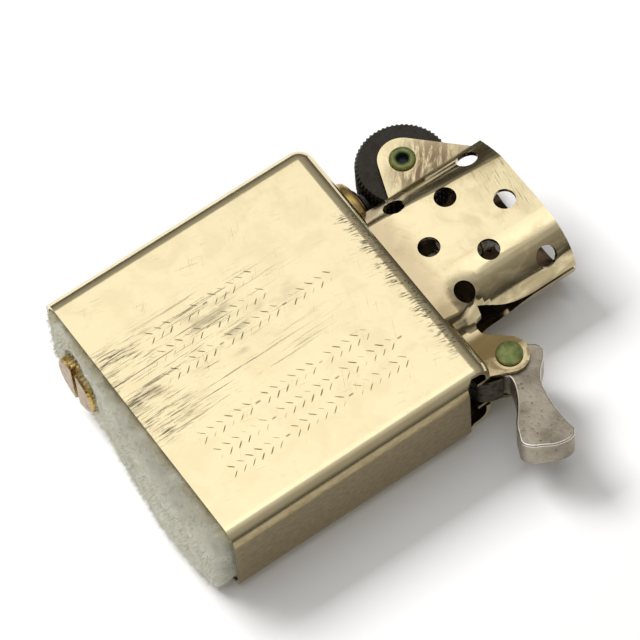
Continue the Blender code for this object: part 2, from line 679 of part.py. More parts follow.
def make_cam_spring(leaf_steel, brass):
    """Leaf riveted under the chimney's floor, which bends up to press on the cam's hub."""
    leaf_y = SKIRT_BOTTOM - FIT_GAP - SPRING_LEAF / 2
    tip_angle = math.radians(SPRING_TIP_ANGLE)
    tip_reach = CAM_HUB_RADIUS + SPRING_CAM_GAP + SPRING_LEAF / 2
    tip = Vector((CAM_X + tip_reach * math.cos(tip_angle), CAM_Y + tip_reach * math.sin(tip_angle)))
    bend = Vector((SPRING_RIVET_X + SPRING_FLAT, leaf_y))
    sweep = Vector((SPRING_FLAT * 1.5, 0.0))
    rise = Vector((SPRING_FLAT / 8, SPRING_FLAT))
    centre_line = [Vector((SPRING_RIVET_X - SPRING_TAIL, leaf_y)), Vector((SPRING_RIVET_X, leaf_y))]
    centre_line += interpolate_bezier(bend, bend + sweep, tip - rise, tip, 12)
    middle = [(point[0], point[1]) for point in centre_line]
    strip = offset_path(middle, SPRING_LEAF / 2) + offset_path(middle, -SPRING_LEAF / 2)[::-1]
    builder = prism(strip, "XY", CENTRE_Z - SPRING_WIDTH / 2, CENTRE_Z + SPRING_WIDTH / 2)
    spring = add_object("cam_spring", builder, leaf_steel)
    base = (SPRING_RIVET_X, leaf_y - MARGIN, CENTRE_Z)
    bore = rod(SPRING_RIVET_RADIUS + FIT_GAP, base, (0, 1, 0), MARGIN * 2, 24)
    combine(spring, add_object("cutter_spring_bore", bore), "DIFFERENCE")

    low = leaf_y - SPRING_LEAF / 2 - TURN_GAP
    high = SKIRT_BOTTOM + SHEET + TURN_GAP
    head = SPRING_RIVET_HEAD_RADIUS
    rise = SPRING_RIVET_HEAD_HEIGHT
    shaft = SPRING_RIVET_RADIUS
    profile = [
        (head - rise, low - rise), (head, low - rise / 2), (head, low), (shaft, low), (shaft, high),
        (head, high), (head, high + rise / 2), (head - rise, high + rise),
    ]
    rivet = turned(profile, (SPRING_RIVET_X, 0.0, CENTRE_Z), (0, 1, 0), 16)
    add_object("cam_spring_rivet", rivet, brass)


# ---------------------------------------------------------------- flint feed

def make_tube(brass):
    axis = (TUBE_X, 0.0, CENTRE_Z)
    mouth = CASE_HEIGHT + TUBE_RISE
    wall = TUBE_RADIUS - TUBE_BORE
    tube = [
        (TUBE_RADIUS, TUBE_FOOT), (TUBE_RADIUS, mouth - wall / 3), (TUBE_RADIUS - wall / 3, mouth),
        (TUBE_BORE + wall / 4, mouth), (TUBE_BORE, mouth - wall / 3), (TUBE_BORE, TUBE_FOOT),
    ]
    add_object("flint_tube", turned(tube, axis, (0, 1, 0), 28, closed=True), brass)
    inner = TUBE_RADIUS + TURN_GAP
    seat = CASE_HEIGHT + TURN_GAP
    band = (COLLAR_RADIUS - inner) / 2
    crown = arc((inner + band, seat + COLLAR_HEIGHT - band), band, 0, 180, 8)
    collar = [(COLLAR_RADIUS, seat), *crown, (inner, seat)]
    add_object("tube_collar", turned(collar, axis, (0, 1, 0), 32, closed=True), brass)


def make_flint_feed(brass, spring_steel, flint_metal):
    flint_foot = WHEEL_Y - WHEEL_RADIUS - TURN_GAP - FLINT_LENGTH
    tip_foot = flint_foot - TURN_GAP - TIP_LENGTH
    rods = (
        ("flint", flint_foot, FLINT_LENGTH, flint_metal),
        ("spring_tip", tip_foot, TIP_LENGTH, brass),
    )
    for name, foot, length, material in rods:
        place = (TUBE_X, foot, CENTRE_Z)
        add_object(name, rod(FLINT_RADIUS, place, (0, 1, 0), length, 20), material, origin=place)

    head_top = SCREW_HEAD_HEIGHT
    shank = TUBE_BORE - FIT_GAP
    shank_top = head_top + SHANK_LENGTH
    place = (TUBE_X, TUBE_FOOT - FIT_GAP - SCREW_HEAD_HEIGHT, CENTRE_Z)
    rings = (
        (0.0, SCREW_HEAD_RADIUS - SMALL_CHAMFER, 0.0), (SMALL_CHAMFER, SCREW_HEAD_RADIUS, KNURL_DEPTH),
        (head_top, SCREW_HEAD_RADIUS, KNURL_DEPTH), (head_top, shank, 0.0),
        (shank_top - SMALL_CHAMFER, shank, 0.0), (shank_top, shank - SMALL_CHAMFER, 0.0),
    )
    builder = toothed(rings, KNURL_TEETH, Matrix.Translation(place) @ aim((0, 1, 0)))
    screw = add_object("flint_screw", builder, brass, origin=place, smooth_angle=20)
    across = SCREW_HEAD_RADIUS + MARGIN
    slot = box(
        (TUBE_X - SCREW_SLOT_WIDTH / 2, place[1] - MARGIN, CENTRE_Z - across),
        (TUBE_X + SCREW_SLOT_WIDTH / 2, place[1] + SCREW_SLOT_DEPTH, CENTRE_Z + across),
    )
    combine(screw, add_object("cutter_screw_slot", slot), "DIFFERENCE")

    clear = SOFT_GAP + FEED_WIRE
    spring_foot = place[1] + shank_top + clear
    pitch = (tip_foot - clear - spring_foot) / FEED_TURNS
    coil = helix((TUBE_X, spring_foot, CENTRE_Z), FLINT_RADIUS - FEED_WIRE, pitch, FEED_TURNS, 10)
    wire("flint_spring", coil, FEED_WIRE, spring_steel)


# ---------------------------------------------------------------- soft pieces

def bulge_at(x):
    """Height of the felt's outer face at one place across the unit, lowest past the middle."""
    share = (x + FELT_SIDE) / (2 * FELT_SIDE)
    slant = FELT_WHEEL_BULGE + (FELT_CAM_BULGE - FELT_WHEEL_BULGE) * share
    return -slant - FELT_CROWN * math.sin(math.pi * share ** FELT_CROWN_SKEW)


def felt_block(left, right):
    inset = CASE_WALL + SOFT_GAP
    count = max(round((right - left) / FELT_STEP), 2)
    places = [left + (right - left) * index / count for index in range(count + 1)]
    outline = [(x, bulge_at(x)) for x in places] + [(right, FELT_THICKNESS), (left, FELT_THICKNESS)]
    builder = prism(outline, "XY", inset, CASE_DEPTH - inset)
    sharp = [edge for edge in builder.edges if edge.calc_face_angle(0.0) > math.radians(50)]
    bmesh.ops.bevel(
        builder, geom=sharp, offset=FELT_EDGE_RADIUS, offset_type="OFFSET", segments=2, profile=0.5,
        affect="EDGES", material=-1,
    )
    return builder


def make_felt(felt):
    """Pad with the tube's hole and a sunk seat for the screw's head, and the flap that lifts beside it."""
    pad = add_object("felt_pad", felt_block(-FELT_SIDE, FELT_SPLIT_X - SOFT_GAP / 2), felt)
    low = TUBE_FOOT - MARGIN * 2
    for name, radius, high in (
        ("tube", TUBE_RADIUS + SOFT_GAP, FELT_THICKNESS + MARGIN),
        ("screw", SCREW_HEAD_RADIUS + SOFT_GAP, TUBE_FOOT + SOFT_GAP),
    ):
        hole = rod(radius, (TUBE_X, low, CENTRE_Z), (0, 1, 0), high - low, 28)
        combine(pad, add_object(f"cutter_felt_{name}", hole), "DIFFERENCE")
    hinge = (FELT_SPLIT_X, bulge_at(FELT_SPLIT_X), CENTRE_Z)
    builder = felt_block(FELT_SPLIT_X + SOFT_GAP / 2, FELT_SIDE - SOFT_GAP)
    add_object("felt_flap", builder, felt, origin=hinge)


def make_packing(cotton):
    """Five pads of packing: one beside the flint tube, two between tube and wick, two past the wick."""
    low_y = FELT_THICKNESS + PACKING_GAP
    high_y = SKIRT_BOTTOM - PACKING_GAP * 3
    middle = (low_y + high_y) / 2
    inset = CASE_WALL + PACKING_GAP
    side = CASE_WIDTH / 2 - inset
    tube_left = TUBE_X - TUBE_RADIUS - PACKING_GAP
    tube_right = TUBE_X + TUBE_RADIUS + PACKING_GAP
    wick_reach = WICK_RADIUS + WICK_WIRE * 3 + PACKING_GAP
    pads = (
        (-side, tube_left, low_y, high_y),
        (tube_right, WICK_X - wick_reach, low_y, middle - PACKING_GAP / 2),
        (tube_right, WICK_X - wick_reach, middle + PACKING_GAP / 2, high_y),
        (WICK_X + wick_reach, side, low_y, middle - PACKING_GAP / 2),
        (WICK_X + wick_reach, side, middle + PACKING_GAP / 2, high_y),
    )
    for number, (left, right, low, high) in enumerate(pads, start=1):
        block = rounded_box((left, low, inset), (right, high, CASE_DEPTH - inset), PACKING_RADIUS)
        add_object(f"packing_{number}", block, cotton)


def make_wick(cotton, copper):
    foot = FELT_THICKNESS + PACKING_GAP * 2
    top = CASE_HEIGHT + WICK_TOP_RISE
    add_object("wick", rod(WICK_RADIUS, (WICK_X, foot, CENTRE_Z), (0, 1, 0), top - foot, 20), cotton)
    reach = WICK_RADIUS + WICK_WIRE + TURN_GAP
    start = SKIRT_BOTTOM + SHEET + PACKING_GAP
    pitch = (top - PACKING_GAP - start) / WICK_TURNS
    wire("wick_wire", helix((WICK_X, start, CENTRE_Z), reach, pitch, WICK_TURNS, 12), WICK_WIRE, copper)


def main():
    clear_scene()
    add_carrier()
    brass = make_material("brass", (0.72, 0.60, 0.38), 0.22, 1.0)
    rivet_brass = make_material("rivet_brass", (0.30, 0.40, 0.20), 0.45, 0.7)
    wheel_steel = make_material("wheel_steel", (0.03, 0.028, 0.026), 0.5, 0.8)
    cam_steel = make_material("cam_steel", (0.50, 0.45, 0.38), 0.42, 1.0)
    spring_steel = make_material("spring_steel", (0.45, 0.45, 0.46), 0.3, 1.0)
    flint_metal = make_material("flint_metal", (0.20, 0.19, 0.18), 0.6, 0.8)
    copper = make_material("copper", (0.70, 0.35, 0.22), 0.3, 1.0)
    felt = make_material("felt", (0.62, 0.62, 0.55), 0.95, 0.0)
    cotton = make_material("cotton", (0.85, 0.82, 0.74), 0.95, 0.0)
    make_case(brass)
    make_chimney(brass)
    make_wheel(wheel_steel, rivet_brass)
    make_cam(cam_steel, rivet_brass)
    make_cam_spring(spring_steel, brass)
    make_tube(brass)
    make_flint_feed(brass, spring_steel, flint_metal)
    make_felt(felt)
    make_packing(cotton)
    make_wick(cotton, copper)


main()
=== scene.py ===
"""Looks of a flip-top pocket lighter's inside unit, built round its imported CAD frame.

X runs across the unit from the flint wheel to the cam, Y from the felt end to the chimney, and Z through
its thickness from the back face that it lies on. Lengths are in metres, and the materials' patterns are
set out in millimetres.
"""
import json
import math
import random

import bmesh
import bpy
from bpy.props import FloatProperty, FloatVectorProperty, IntProperty, PointerProperty
from mathutils import Color, Matrix, Vector, noise

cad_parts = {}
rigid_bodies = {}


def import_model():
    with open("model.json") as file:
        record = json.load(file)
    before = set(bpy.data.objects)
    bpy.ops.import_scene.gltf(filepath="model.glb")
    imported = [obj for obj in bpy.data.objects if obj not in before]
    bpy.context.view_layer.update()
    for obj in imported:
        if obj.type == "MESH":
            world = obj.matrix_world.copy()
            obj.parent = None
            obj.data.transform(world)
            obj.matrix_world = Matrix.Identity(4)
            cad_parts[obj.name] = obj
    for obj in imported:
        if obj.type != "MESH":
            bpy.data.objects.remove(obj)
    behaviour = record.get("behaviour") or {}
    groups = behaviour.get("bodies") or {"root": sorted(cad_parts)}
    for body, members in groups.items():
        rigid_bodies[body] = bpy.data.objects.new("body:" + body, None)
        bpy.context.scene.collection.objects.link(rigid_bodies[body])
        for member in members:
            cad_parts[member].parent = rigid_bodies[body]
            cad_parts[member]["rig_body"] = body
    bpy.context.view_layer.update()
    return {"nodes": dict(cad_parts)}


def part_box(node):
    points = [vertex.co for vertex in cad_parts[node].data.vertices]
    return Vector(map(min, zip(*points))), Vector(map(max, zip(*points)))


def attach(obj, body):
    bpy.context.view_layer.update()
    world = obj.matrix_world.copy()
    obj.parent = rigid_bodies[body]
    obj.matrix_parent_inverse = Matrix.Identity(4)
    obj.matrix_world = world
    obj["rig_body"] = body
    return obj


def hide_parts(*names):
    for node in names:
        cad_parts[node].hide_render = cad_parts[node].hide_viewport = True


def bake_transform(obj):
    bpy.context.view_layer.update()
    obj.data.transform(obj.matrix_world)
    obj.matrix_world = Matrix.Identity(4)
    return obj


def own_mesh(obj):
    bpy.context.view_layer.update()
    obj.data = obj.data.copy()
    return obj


bl_info = {
    "name": "Lighter Unit Looks",
    "version": (1, 0, 0),
    "blender": (4, 5, 0),
    "location": "3D View > Sidebar > Lighter",
    "description": "Dresses the lighter unit's frame with brass, steel, felt and cotton, and sets its stage",
    "category": "Object",
}

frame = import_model()

MM = 0.001
CASE_LOW, CASE_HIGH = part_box("case_shell")
CHIMNEY_LOW, CHIMNEY_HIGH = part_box("chimney")
WHEEL_LOW, WHEEL_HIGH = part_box("flint_wheel")
WHEEL_MIDDLE = (WHEEL_LOW + WHEEL_HIGH) / 2
CAM_RIVET_LOW, CAM_RIVET_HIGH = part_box("cam_rivet")
CAM_MIDDLE = (CAM_RIVET_LOW + CAM_RIVET_HIGH) / 2
RIVET_LOW, RIVET_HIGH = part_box("wheel_rivet")
WICK_LOW, WICK_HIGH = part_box("wick")
CENTRE_Z = (CASE_LOW.z + CASE_HIGH.z) / 2


# ---------------------------------------------------------------- settings

def length(name, description, default):
    return FloatProperty(
        name=name, description=description, default=default, min=0.0, unit="LENGTH", precision=5
    )


def colour(name, description, default):
    return FloatVectorProperty(
        name=name, description=description, default=default, size=3, min=0.0, max=1.0, subtype="COLOR"
    )


def power(name, description, default):
    return FloatProperty(name=name, description=description, default=default, min=0.0, unit="POWER")


class LighterSizes(bpy.types.PropertyGroup):
    sheet_edge: length("Sheet edge", "Rounding along the cut edges of the brass sheet", 0.07 * MM)
    cam_edge: length("Cam edge", "Rounding round the cam's faces", 0.22 * MM)
    turned_edge: length("Turned edge", "Rounding on the edges of turned pieces", 0.05 * MM)
    mark_length: length("Mark length", "Length of one engraved cut", 1.15 * MM)
    mark_width: length("Mark width", "Width of one engraved cut", 0.13 * MM)
    mark_depth: length("Mark depth", "Depth of one engraved cut", 0.07 * MM)
    mark_step: length("Mark step", "Distance between two chevrons in a row", 1.15 * MM)
    wheel_teeth: IntProperty(
        name="Wheel teeth", description="Number of teeth round the flint wheel", default=60, min=12
    )
    tooth_depth: length("Tooth depth", "Depth of the flint wheel's cuts", 0.22 * MM)
    felt_voxel: length("Felt voxel", "Size of the felt's surface grid", 0.22 * MM)
    felt_lump: length("Felt lumps", "Height of the felt's lumps", 0.26 * MM)
    fibre_length: length("Fibre length", "Length of a loose fibre on the felt", 0.75 * MM)
    fibre_count: IntProperty(
        name="Fibres", description="Number of loose fibres on the felt", default=6500, min=0
    )
    packing_lump: length("Packing lumps", "Height of the lumps on the cotton packing", 0.3 * MM)


class LighterColours(bpy.types.PropertyGroup):
    brass: colour("Brass", "Clean polished brass", (0.77, 0.665, 0.42))
    brass_shade: colour("Brass shade", "Brass where it has dulled", (0.60, 0.48, 0.27))
    grime: colour("Grime", "Dark rubbed streaks in the brass", (0.10, 0.085, 0.06))
    # This near-black is burnt metal on the leaf spring and inside the chimney, and painted shade inside the
    # can.
    soot_and_shade: colour("Soot", "Burnt inner faces", (0.030, 0.022, 0.014))
    # This brown is a real stain by the wheel and on turned metal, and painted shade at the chimney's foot
    # and inside the can.
    heat_stain_and_shade: colour("Heat stain", "Brown stain by the wheel", (0.30, 0.20, 0.12))
    patina: colour("Patina", "Green coat on the rivets", (0.15, 0.20, 0.05))
    patina_pale: colour("Pale patina", "Chalky green on the rivets", (0.30, 0.34, 0.11))
    wheel: colour("Wheel", "Blackened wheel steel", (0.055, 0.051, 0.044))
    cam: colour("Cam steel", "Warm grey sintered steel", (0.44, 0.39, 0.31))
    cam_dark: colour("Cam pores", "Pores in the cam steel", (0.13, 0.11, 0.08))
    copper: colour("Copper", "Reddish turned faces", (0.30, 0.185, 0.085))
    # Besides tarnish by the flame, this brown is painted shade on the can's narrow sides and on the
    # chimney's rounded side.
    tarnish: colour("Tarnish", "Brown tarnish on the narrow sides", (0.24, 0.18, 0.085))
    ear_tarnish: colour("Ear tarnish", "Dark brown tarnish on the cam's ears", (0.13, 0.09, 0.035))
    gold: colour("Turned brass", "Yellow turned brass", (0.56, 0.40, 0.12))
    steel: colour("Spring steel", "Bright spring steel", (0.52, 0.52, 0.52))
    flint: colour("Flint", "Dull flint metal", (0.16, 0.15, 0.15))
    felt: colour("Felt", "Clean felt", (0.80, 0.78, 0.64))
    felt_stain: colour("Felt stain", "Yellowed felt beside the rim", (0.56, 0.46, 0.20))
    cotton: colour("Cotton", "Cotton packing and wick", (0.80, 0.78, 0.70))


class LighterStage(bpy.types.PropertyGroup):
    azimuth: FloatProperty(
        name="Azimuth", description="Where the camera stands round the unit, from -Y towards +X",
        default=math.radians(60.32), subtype="ANGLE",
    )
    elevation: FloatProperty(
        name="Elevation", description="How high the camera stands above the floor",
        default=math.radians(60.82), subtype="ANGLE",
    )
    roll: FloatProperty(
        name="Roll", description="How far the camera is turned clockwise",
        default=math.radians(6.07), subtype="ANGLE",
    )
    distance: length("Distance", "From the camera to the point that it aims at", 0.45176)
    focal_length: FloatProperty(
        name="Focal length", description="Camera lens", default=236.6, unit="CAMERA"
    )
    aim_x: FloatProperty(
        name="Aim X", description="Aim point across the unit", default=-1.02 * MM, unit="LENGTH"
    )
    aim_y: FloatProperty(
        name="Aim Y", description="Aim point up the unit", default=6.93 * MM, unit="LENGTH"
    )
    floor: colour("Floor", "Pale floor", (0.90, 0.90, 0.90))
    key_power: power("Key power", "Power of the overhead softbox", 0.82)
    felt_power: power("Felt power", "Power of the lamp that lights only the felt", 0.75)
    floor_power: power("Floor power", "Power of the lamp that lights only the floor", 5.2)
    sky_strength: FloatProperty(
        name="Room light", description="Strength of the room's own light", default=0.8, min=0.0
    )


def sizes():
    return bpy.context.scene.lighter_sizes


def colours():
    return bpy.context.scene.lighter_colours


def stage_settings():
    return bpy.context.scene.lighter_stage


# ---------------------------------------------------------------- pieces

def merged_copy(*nodes):
    """Mesh builder with the CAD nodes' loose triangles joined and their flat faces made whole."""
    builder = bmesh.new()
    for name in nodes:
        builder.from_mesh(frame["nodes"][name].data)
    bmesh.ops.remove_doubles(builder, verts=builder.verts, dist=0.0001 * MM)
    bmesh.ops.dissolve_limit(
        builder, angle_limit=math.radians(0.3), verts=builder.verts, edges=builder.edges
    )
    return builder


def add_object(name, builder, materials, smooth_angle=35.0):
    mesh = bpy.data.meshes.new(name)
    builder.to_mesh(mesh)
    builder.free()
    mesh.shade_smooth()
    mesh.set_sharp_from_angle(angle=math.radians(smooth_angle))
    for material in materials:
        mesh.materials.append(material)
    item = bpy.data.objects.new(name, mesh)
    bpy.context.scene.collection.objects.link(item)
    return item


def add_piece(name, builder, materials, node, slot, smooth_angle=35.0):
    """A piece that stands for one CAD node and rides on that node's body."""
    piece = add_object(name, builder, materials, smooth_angle)
    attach(piece, frame["nodes"][node]["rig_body"])
    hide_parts(node)
    return piece


def soften(piece, width, segments=2, edge_material=-1, angle=32.0):
    """Round the sharp edges, and keep the flat faces' shading flat right up to them."""
    rounding = piece.modifiers.new("edge_rounding", "BEVEL")
    rounding.width = width
    rounding.segments = segments
    rounding.limit_method = "ANGLE"
    rounding.angle_limit = math.radians(angle)
    rounding.material = edge_material
    shading = piece.modifiers.new("even_shading", "WEIGHTED_NORMAL")
    shading.keep_sharp = True


def settle(piece):
    """Apply the piece's modifiers to its mesh."""
    bpy.context.view_layer.update()
    evaluated = piece.evaluated_get(bpy.context.evaluated_depsgraph_get())
    mesh = bpy.data.meshes.new_from_object(evaluated)
    piece.modifiers.clear()
    piece.data = mesh


def carve(piece, cutter):
    cut = piece.modifiers.new("carving", "BOOLEAN")
    cut.operation = "DIFFERENCE"
    cut.solver = "EXACT"
    cut.object = cutter
    faces = len(piece.data.polygons)
    settle(piece)
    bpy.data.objects.remove(cutter)
    if len(piece.data.polygons) < faces:
        raise RuntimeError(f"{piece.name} lost faces while it was carved")


def turned(profile, base, direction, sides):
    """Spin a profile of (radius, height) pairs about an axis. It ends on the axis, or closes on itself."""
    builder = bmesh.new()
    points = [builder.verts.new((radius, 0.0, height)) for radius, height in profile]
    closed = profile[0][0] > 0.0 and profile[-1][0] > 0.0
    ends = points[1:] + points[:1] if closed else points[1:]
    edges = [builder.edges.new(pair) for pair in zip(points, ends)]
    bmesh.ops.spin(
        builder, geom=points + edges, cent=(0, 0, 0), axis=(0, 0, 1), dvec=(0, 0, 0),
        angle=2 * math.pi, steps=sides, use_merge=True, use_duplicate=False,
    )
    bmesh.ops.remove_doubles(builder, verts=builder.verts, dist=0.0001 * MM)
    bmesh.ops.recalc_face_normals(builder, faces=builder.faces)
    turn = Vector(direction).to_track_quat("Z", "Y").to_matrix().to_4x4()
    bmesh.ops.transform(builder, verts=builder.verts, matrix=Matrix.Translation(base) @ turn)
    return builder


def extruded_ring(builder, ring, place):
    """Extrude a closed ring of vertices and put each copy where place(index) says."""
    edges = [
        next(edge for edge in vert.link_edges if edge.other_vert(vert) is after)
        for vert, after in zip(ring, ring[1:] + ring[:1])
    ]
    made = bmesh.ops.extrude_edge_only(builder, edges=edges)["geom"]
    fresh = {part for part in made if isinstance(part, bmesh.types.BMVert)}
    copies = [
        next(edge.other_vert(vert) for edge in vert.link_edges if edge.other_vert(vert) in fresh)
        for vert in ring
    ]
    for index, copy in enumerate(copies):
        copy.co = place(index)
    return copies


# ---------------------------------------------------------------- shading helpers

class Shading:
    """Adds shader nodes to one material's tree or one group's tree, and joins them up."""

    def __init__(self, tree, shader=None):
        self.tree = tree
        self.shader = shader

    def add(self, kind, inputs=(), **settings):
        made = self.tree.nodes.new(kind)
        made.location.x = 180 * len(self.tree.nodes)
        for name, value in settings.items():
            setattr(made, name, value)
        for name, value in dict(inputs).items():
            self.put(made.inputs[name], value)
        return made

    def put(self, socket, value):
        if isinstance(value, bpy.types.NodeSocket):
            self.tree.links.new(value, socket)
        elif isinstance(value, (tuple, Color)) and socket.type == "RGBA":
            socket.default_value = (*value, 1.0)
        else:
            socket.default_value = value

    def feed(self, name, value):
        """Give the material's own shader a value or a link."""
        self.put(self.shader.inputs[name], value)

    def bump(self, height, swing, strength=1.0):
        """Bump with the height's full swing given in millimetres."""
        made = self.add("ShaderNodeBump", {
            "Height": height, "Distance": swing * MM, "Strength": strength,
        })
        self.feed("Normal", made.outputs[0])

    def coordinates(self):
        """Place on the object in millimetres."""
        place = self.add("ShaderNodeTexCoord").outputs["Object"]
        return self.scaled(place, (1 / MM,) * 3)

    def scaled(self, vector, factors):
        return self.add(
            "ShaderNodeVectorMath", {0: vector, 1: factors}, operation="MULTIPLY"
        ).outputs[0]

    def turned(self, vector, degrees):
        return self.add(
            "ShaderNodeVectorRotate", {"Vector": vector, "Angle": math.radians(degrees)},
            rotation_type="Z_AXIS",
        ).outputs[0]

    def axis(self, vector, name):
        return self.add("ShaderNodeSeparateXYZ", {0: vector}).outputs[name]

    def noise(self, vector, scale, detail=2.0, roughness=0.5, distortion=0.0):
        return self.add("ShaderNodeTexNoise", {
            "Vector": vector, "Scale": scale, "Detail": detail, "Roughness": roughness,
            "Distortion": distortion,
        }).outputs["Fac"]

    def stretched(self, vector, factors, detail, roughness=0.5, distortion=0.0):
        """Noise with its own scale along each axis."""
        return self.noise(self.scaled(vector, factors), 1.0, detail, roughness, distortion)

    def fade(self, value, start, end, low=0.0, high=1.0):
        """Smooth change from low at start to high at end."""
        return self.add("ShaderNodeMapRange", {
            "Value": value, "From Min": start, "From Max": end, "To Min": low, "To Max": high,
        }, interpolation_type="SMOOTHSTEP").outputs[0]

    def maths(self, operation, first, second=0.0, clamp=False):
        return self.add(
            "ShaderNodeMath", {0: first, 1: second}, operation=operation, use_clamp=clamp
        ).outputs[0]

    def chain(self, operation, values):
        result = values[0]
        for value in values[1:]:
            result = self.maths(operation, result, value)
        return result

    def times(self, *values):
        return self.chain("MULTIPLY", values)

    def plus(self, *values):
        return self.chain("ADD", values)

    def most(self, *values):
        return self.chain("MAXIMUM", values)

    def minus(self, first, second):
        return self.maths("SUBTRACT", first, second)

    def ramp(self, first, second, steepness):
        """How far the first is above the second, made steep and kept from 0 to 1."""
        return self.maths("MULTIPLY", self.minus(first, second), steepness, clamp=True)

    def band(self, value, start, full, after, end):
        """1 between full and after, fading to 0 at start and end."""
        return self.times(self.fade(value, start, full), self.fade(value, after, end, 1.0, 0.0))

    def mix(self, share, first, second, blend="MIX"):
        made = self.add(
            "ShaderNodeMix", data_type="RGBA", blend_type=blend, clamp_factor=True
        )
        self.put(made.inputs["Factor"], share)
        self.put(made.inputs[6], first)
        self.put(made.inputs[7], second)
        return made.outputs[2]

    def distance(self, vector, point):
        return self.add(
            "ShaderNodeVectorMath", {0: vector, 1: point}, operation="DISTANCE"
        ).outputs["Value"]

    def reach(self, place, centre):
        """Distance in millimetres from the upright line through a point."""
        flat = self.scaled(place, (1.0, 1.0, 0.0))
        return self.distance(flat, (centre.x / MM, centre.y / MM, 0.0))

    def group(self, name, vector, **inputs):
        made = self.add("ShaderNodeGroup", node_tree=bpy.data.node_groups[name])
        for key, value in {"Vector": vector, **inputs}.items():
            self.put(made.inputs[key], value)
        return made.outputs

    def mask(self, name, vector, **inputs):
        return self.group(name, vector, **inputs)["Mask"]


def new_group(name, inputs, outputs):
    """A node group with float inputs and outputs, and a Vector input."""
    tree = bpy.data.node_groups.new(name, "ShaderNodeTree")
    tree.interface.new_socket("Vector", in_out="INPUT", socket_type="NodeSocketVector")
    for key, default in inputs.items():
        made = tree.interface.new_socket(key, in_out="INPUT", socket_type="NodeSocketFloat")
        made.default_value = default
    for key in outputs:
        tree.interface.new_socket(key, in_out="OUTPUT", socket_type="NodeSocketFloat")
    shading = Shading(tree)
    return shading, shading.add("NodeGroupInput").outputs, shading.add("NodeGroupOutput").inputs


def build_groups():
    """Effects that several materials share. Their vectors are in millimetres."""
    shading, given, result = new_group("hairlines", {"Angle": 0.0, "Amount": 0.5}, ("Mask",))
    turned_vector = shading.add(
        "ShaderNodeVectorRotate", {"Vector": given["Vector"], "Angle": given["Angle"]},
        rotation_type="Z_AXIS",
    ).outputs[0]
    fine = shading.stretched(turned_vector, (9.0, 0.28, 9.0), 3.0, 0.6)
    patches = shading.noise(given["Vector"], 0.35, 1.0)
    level = shading.plus(fine, shading.times(shading.minus(patches, 0.5), 0.35))
    edge = shading.minus(0.78, shading.times(given["Amount"], 0.22))
    shading.put(result["Mask"], shading.ramp(level, edge, 14.0))

    shading, given, result = new_group("dulling", {"Scale": 0.25, "Amount": 0.5}, ("Mask",))
    broad = shading.noise(given["Vector"], given["Scale"], 4.0, 0.55, 0.6)
    shading.put(result["Mask"], shading.times(shading.fade(broad, 0.38, 0.68), given["Amount"]))

    shading, given, result = new_group("grain", {"Scale": 6.0}, ("Height", "Pores"))
    rough = shading.noise(given["Vector"], given["Scale"], 3.0, 0.65)
    shading.put(result["Height"], rough)
    shading.put(result["Pores"], shading.fade(rough, 0.42, 0.30))

    shading, given, result = new_group("specks", {"Scale": 0.8, "Size": 0.08}, ("Mask",))
    spots = shading.add(
        "ShaderNodeTexVoronoi", {"Vector": given["Vector"], "Scale": given["Scale"]}
    ).outputs["Distance"]
    ragged = shading.plus(spots, shading.times(shading.noise(given["Vector"], 5.0), 0.06))
    shading.put(result["Mask"], shading.ramp(given["Size"], ragged, 30.0))


def new_material(name, metallic, roughness=0.5, **constants):
    """Material with the tools for its shader, whose constants are set here, and the place in millimetres."""
    material = bpy.data.materials.new(name)
    material.use_nodes = True
    shader = material.node_tree.nodes["Principled BSDF"]
    shader.inputs["Metallic"].default_value = metallic
    shader.inputs["Roughness"].default_value = roughness
    for key, value in constants.items():
        shader.inputs[key.replace("_", " ")].default_value = value
    shading = Shading(material.node_tree, shader)
    return material, shading, shading.coordinates()


# ---------------------------------------------------------------- metals

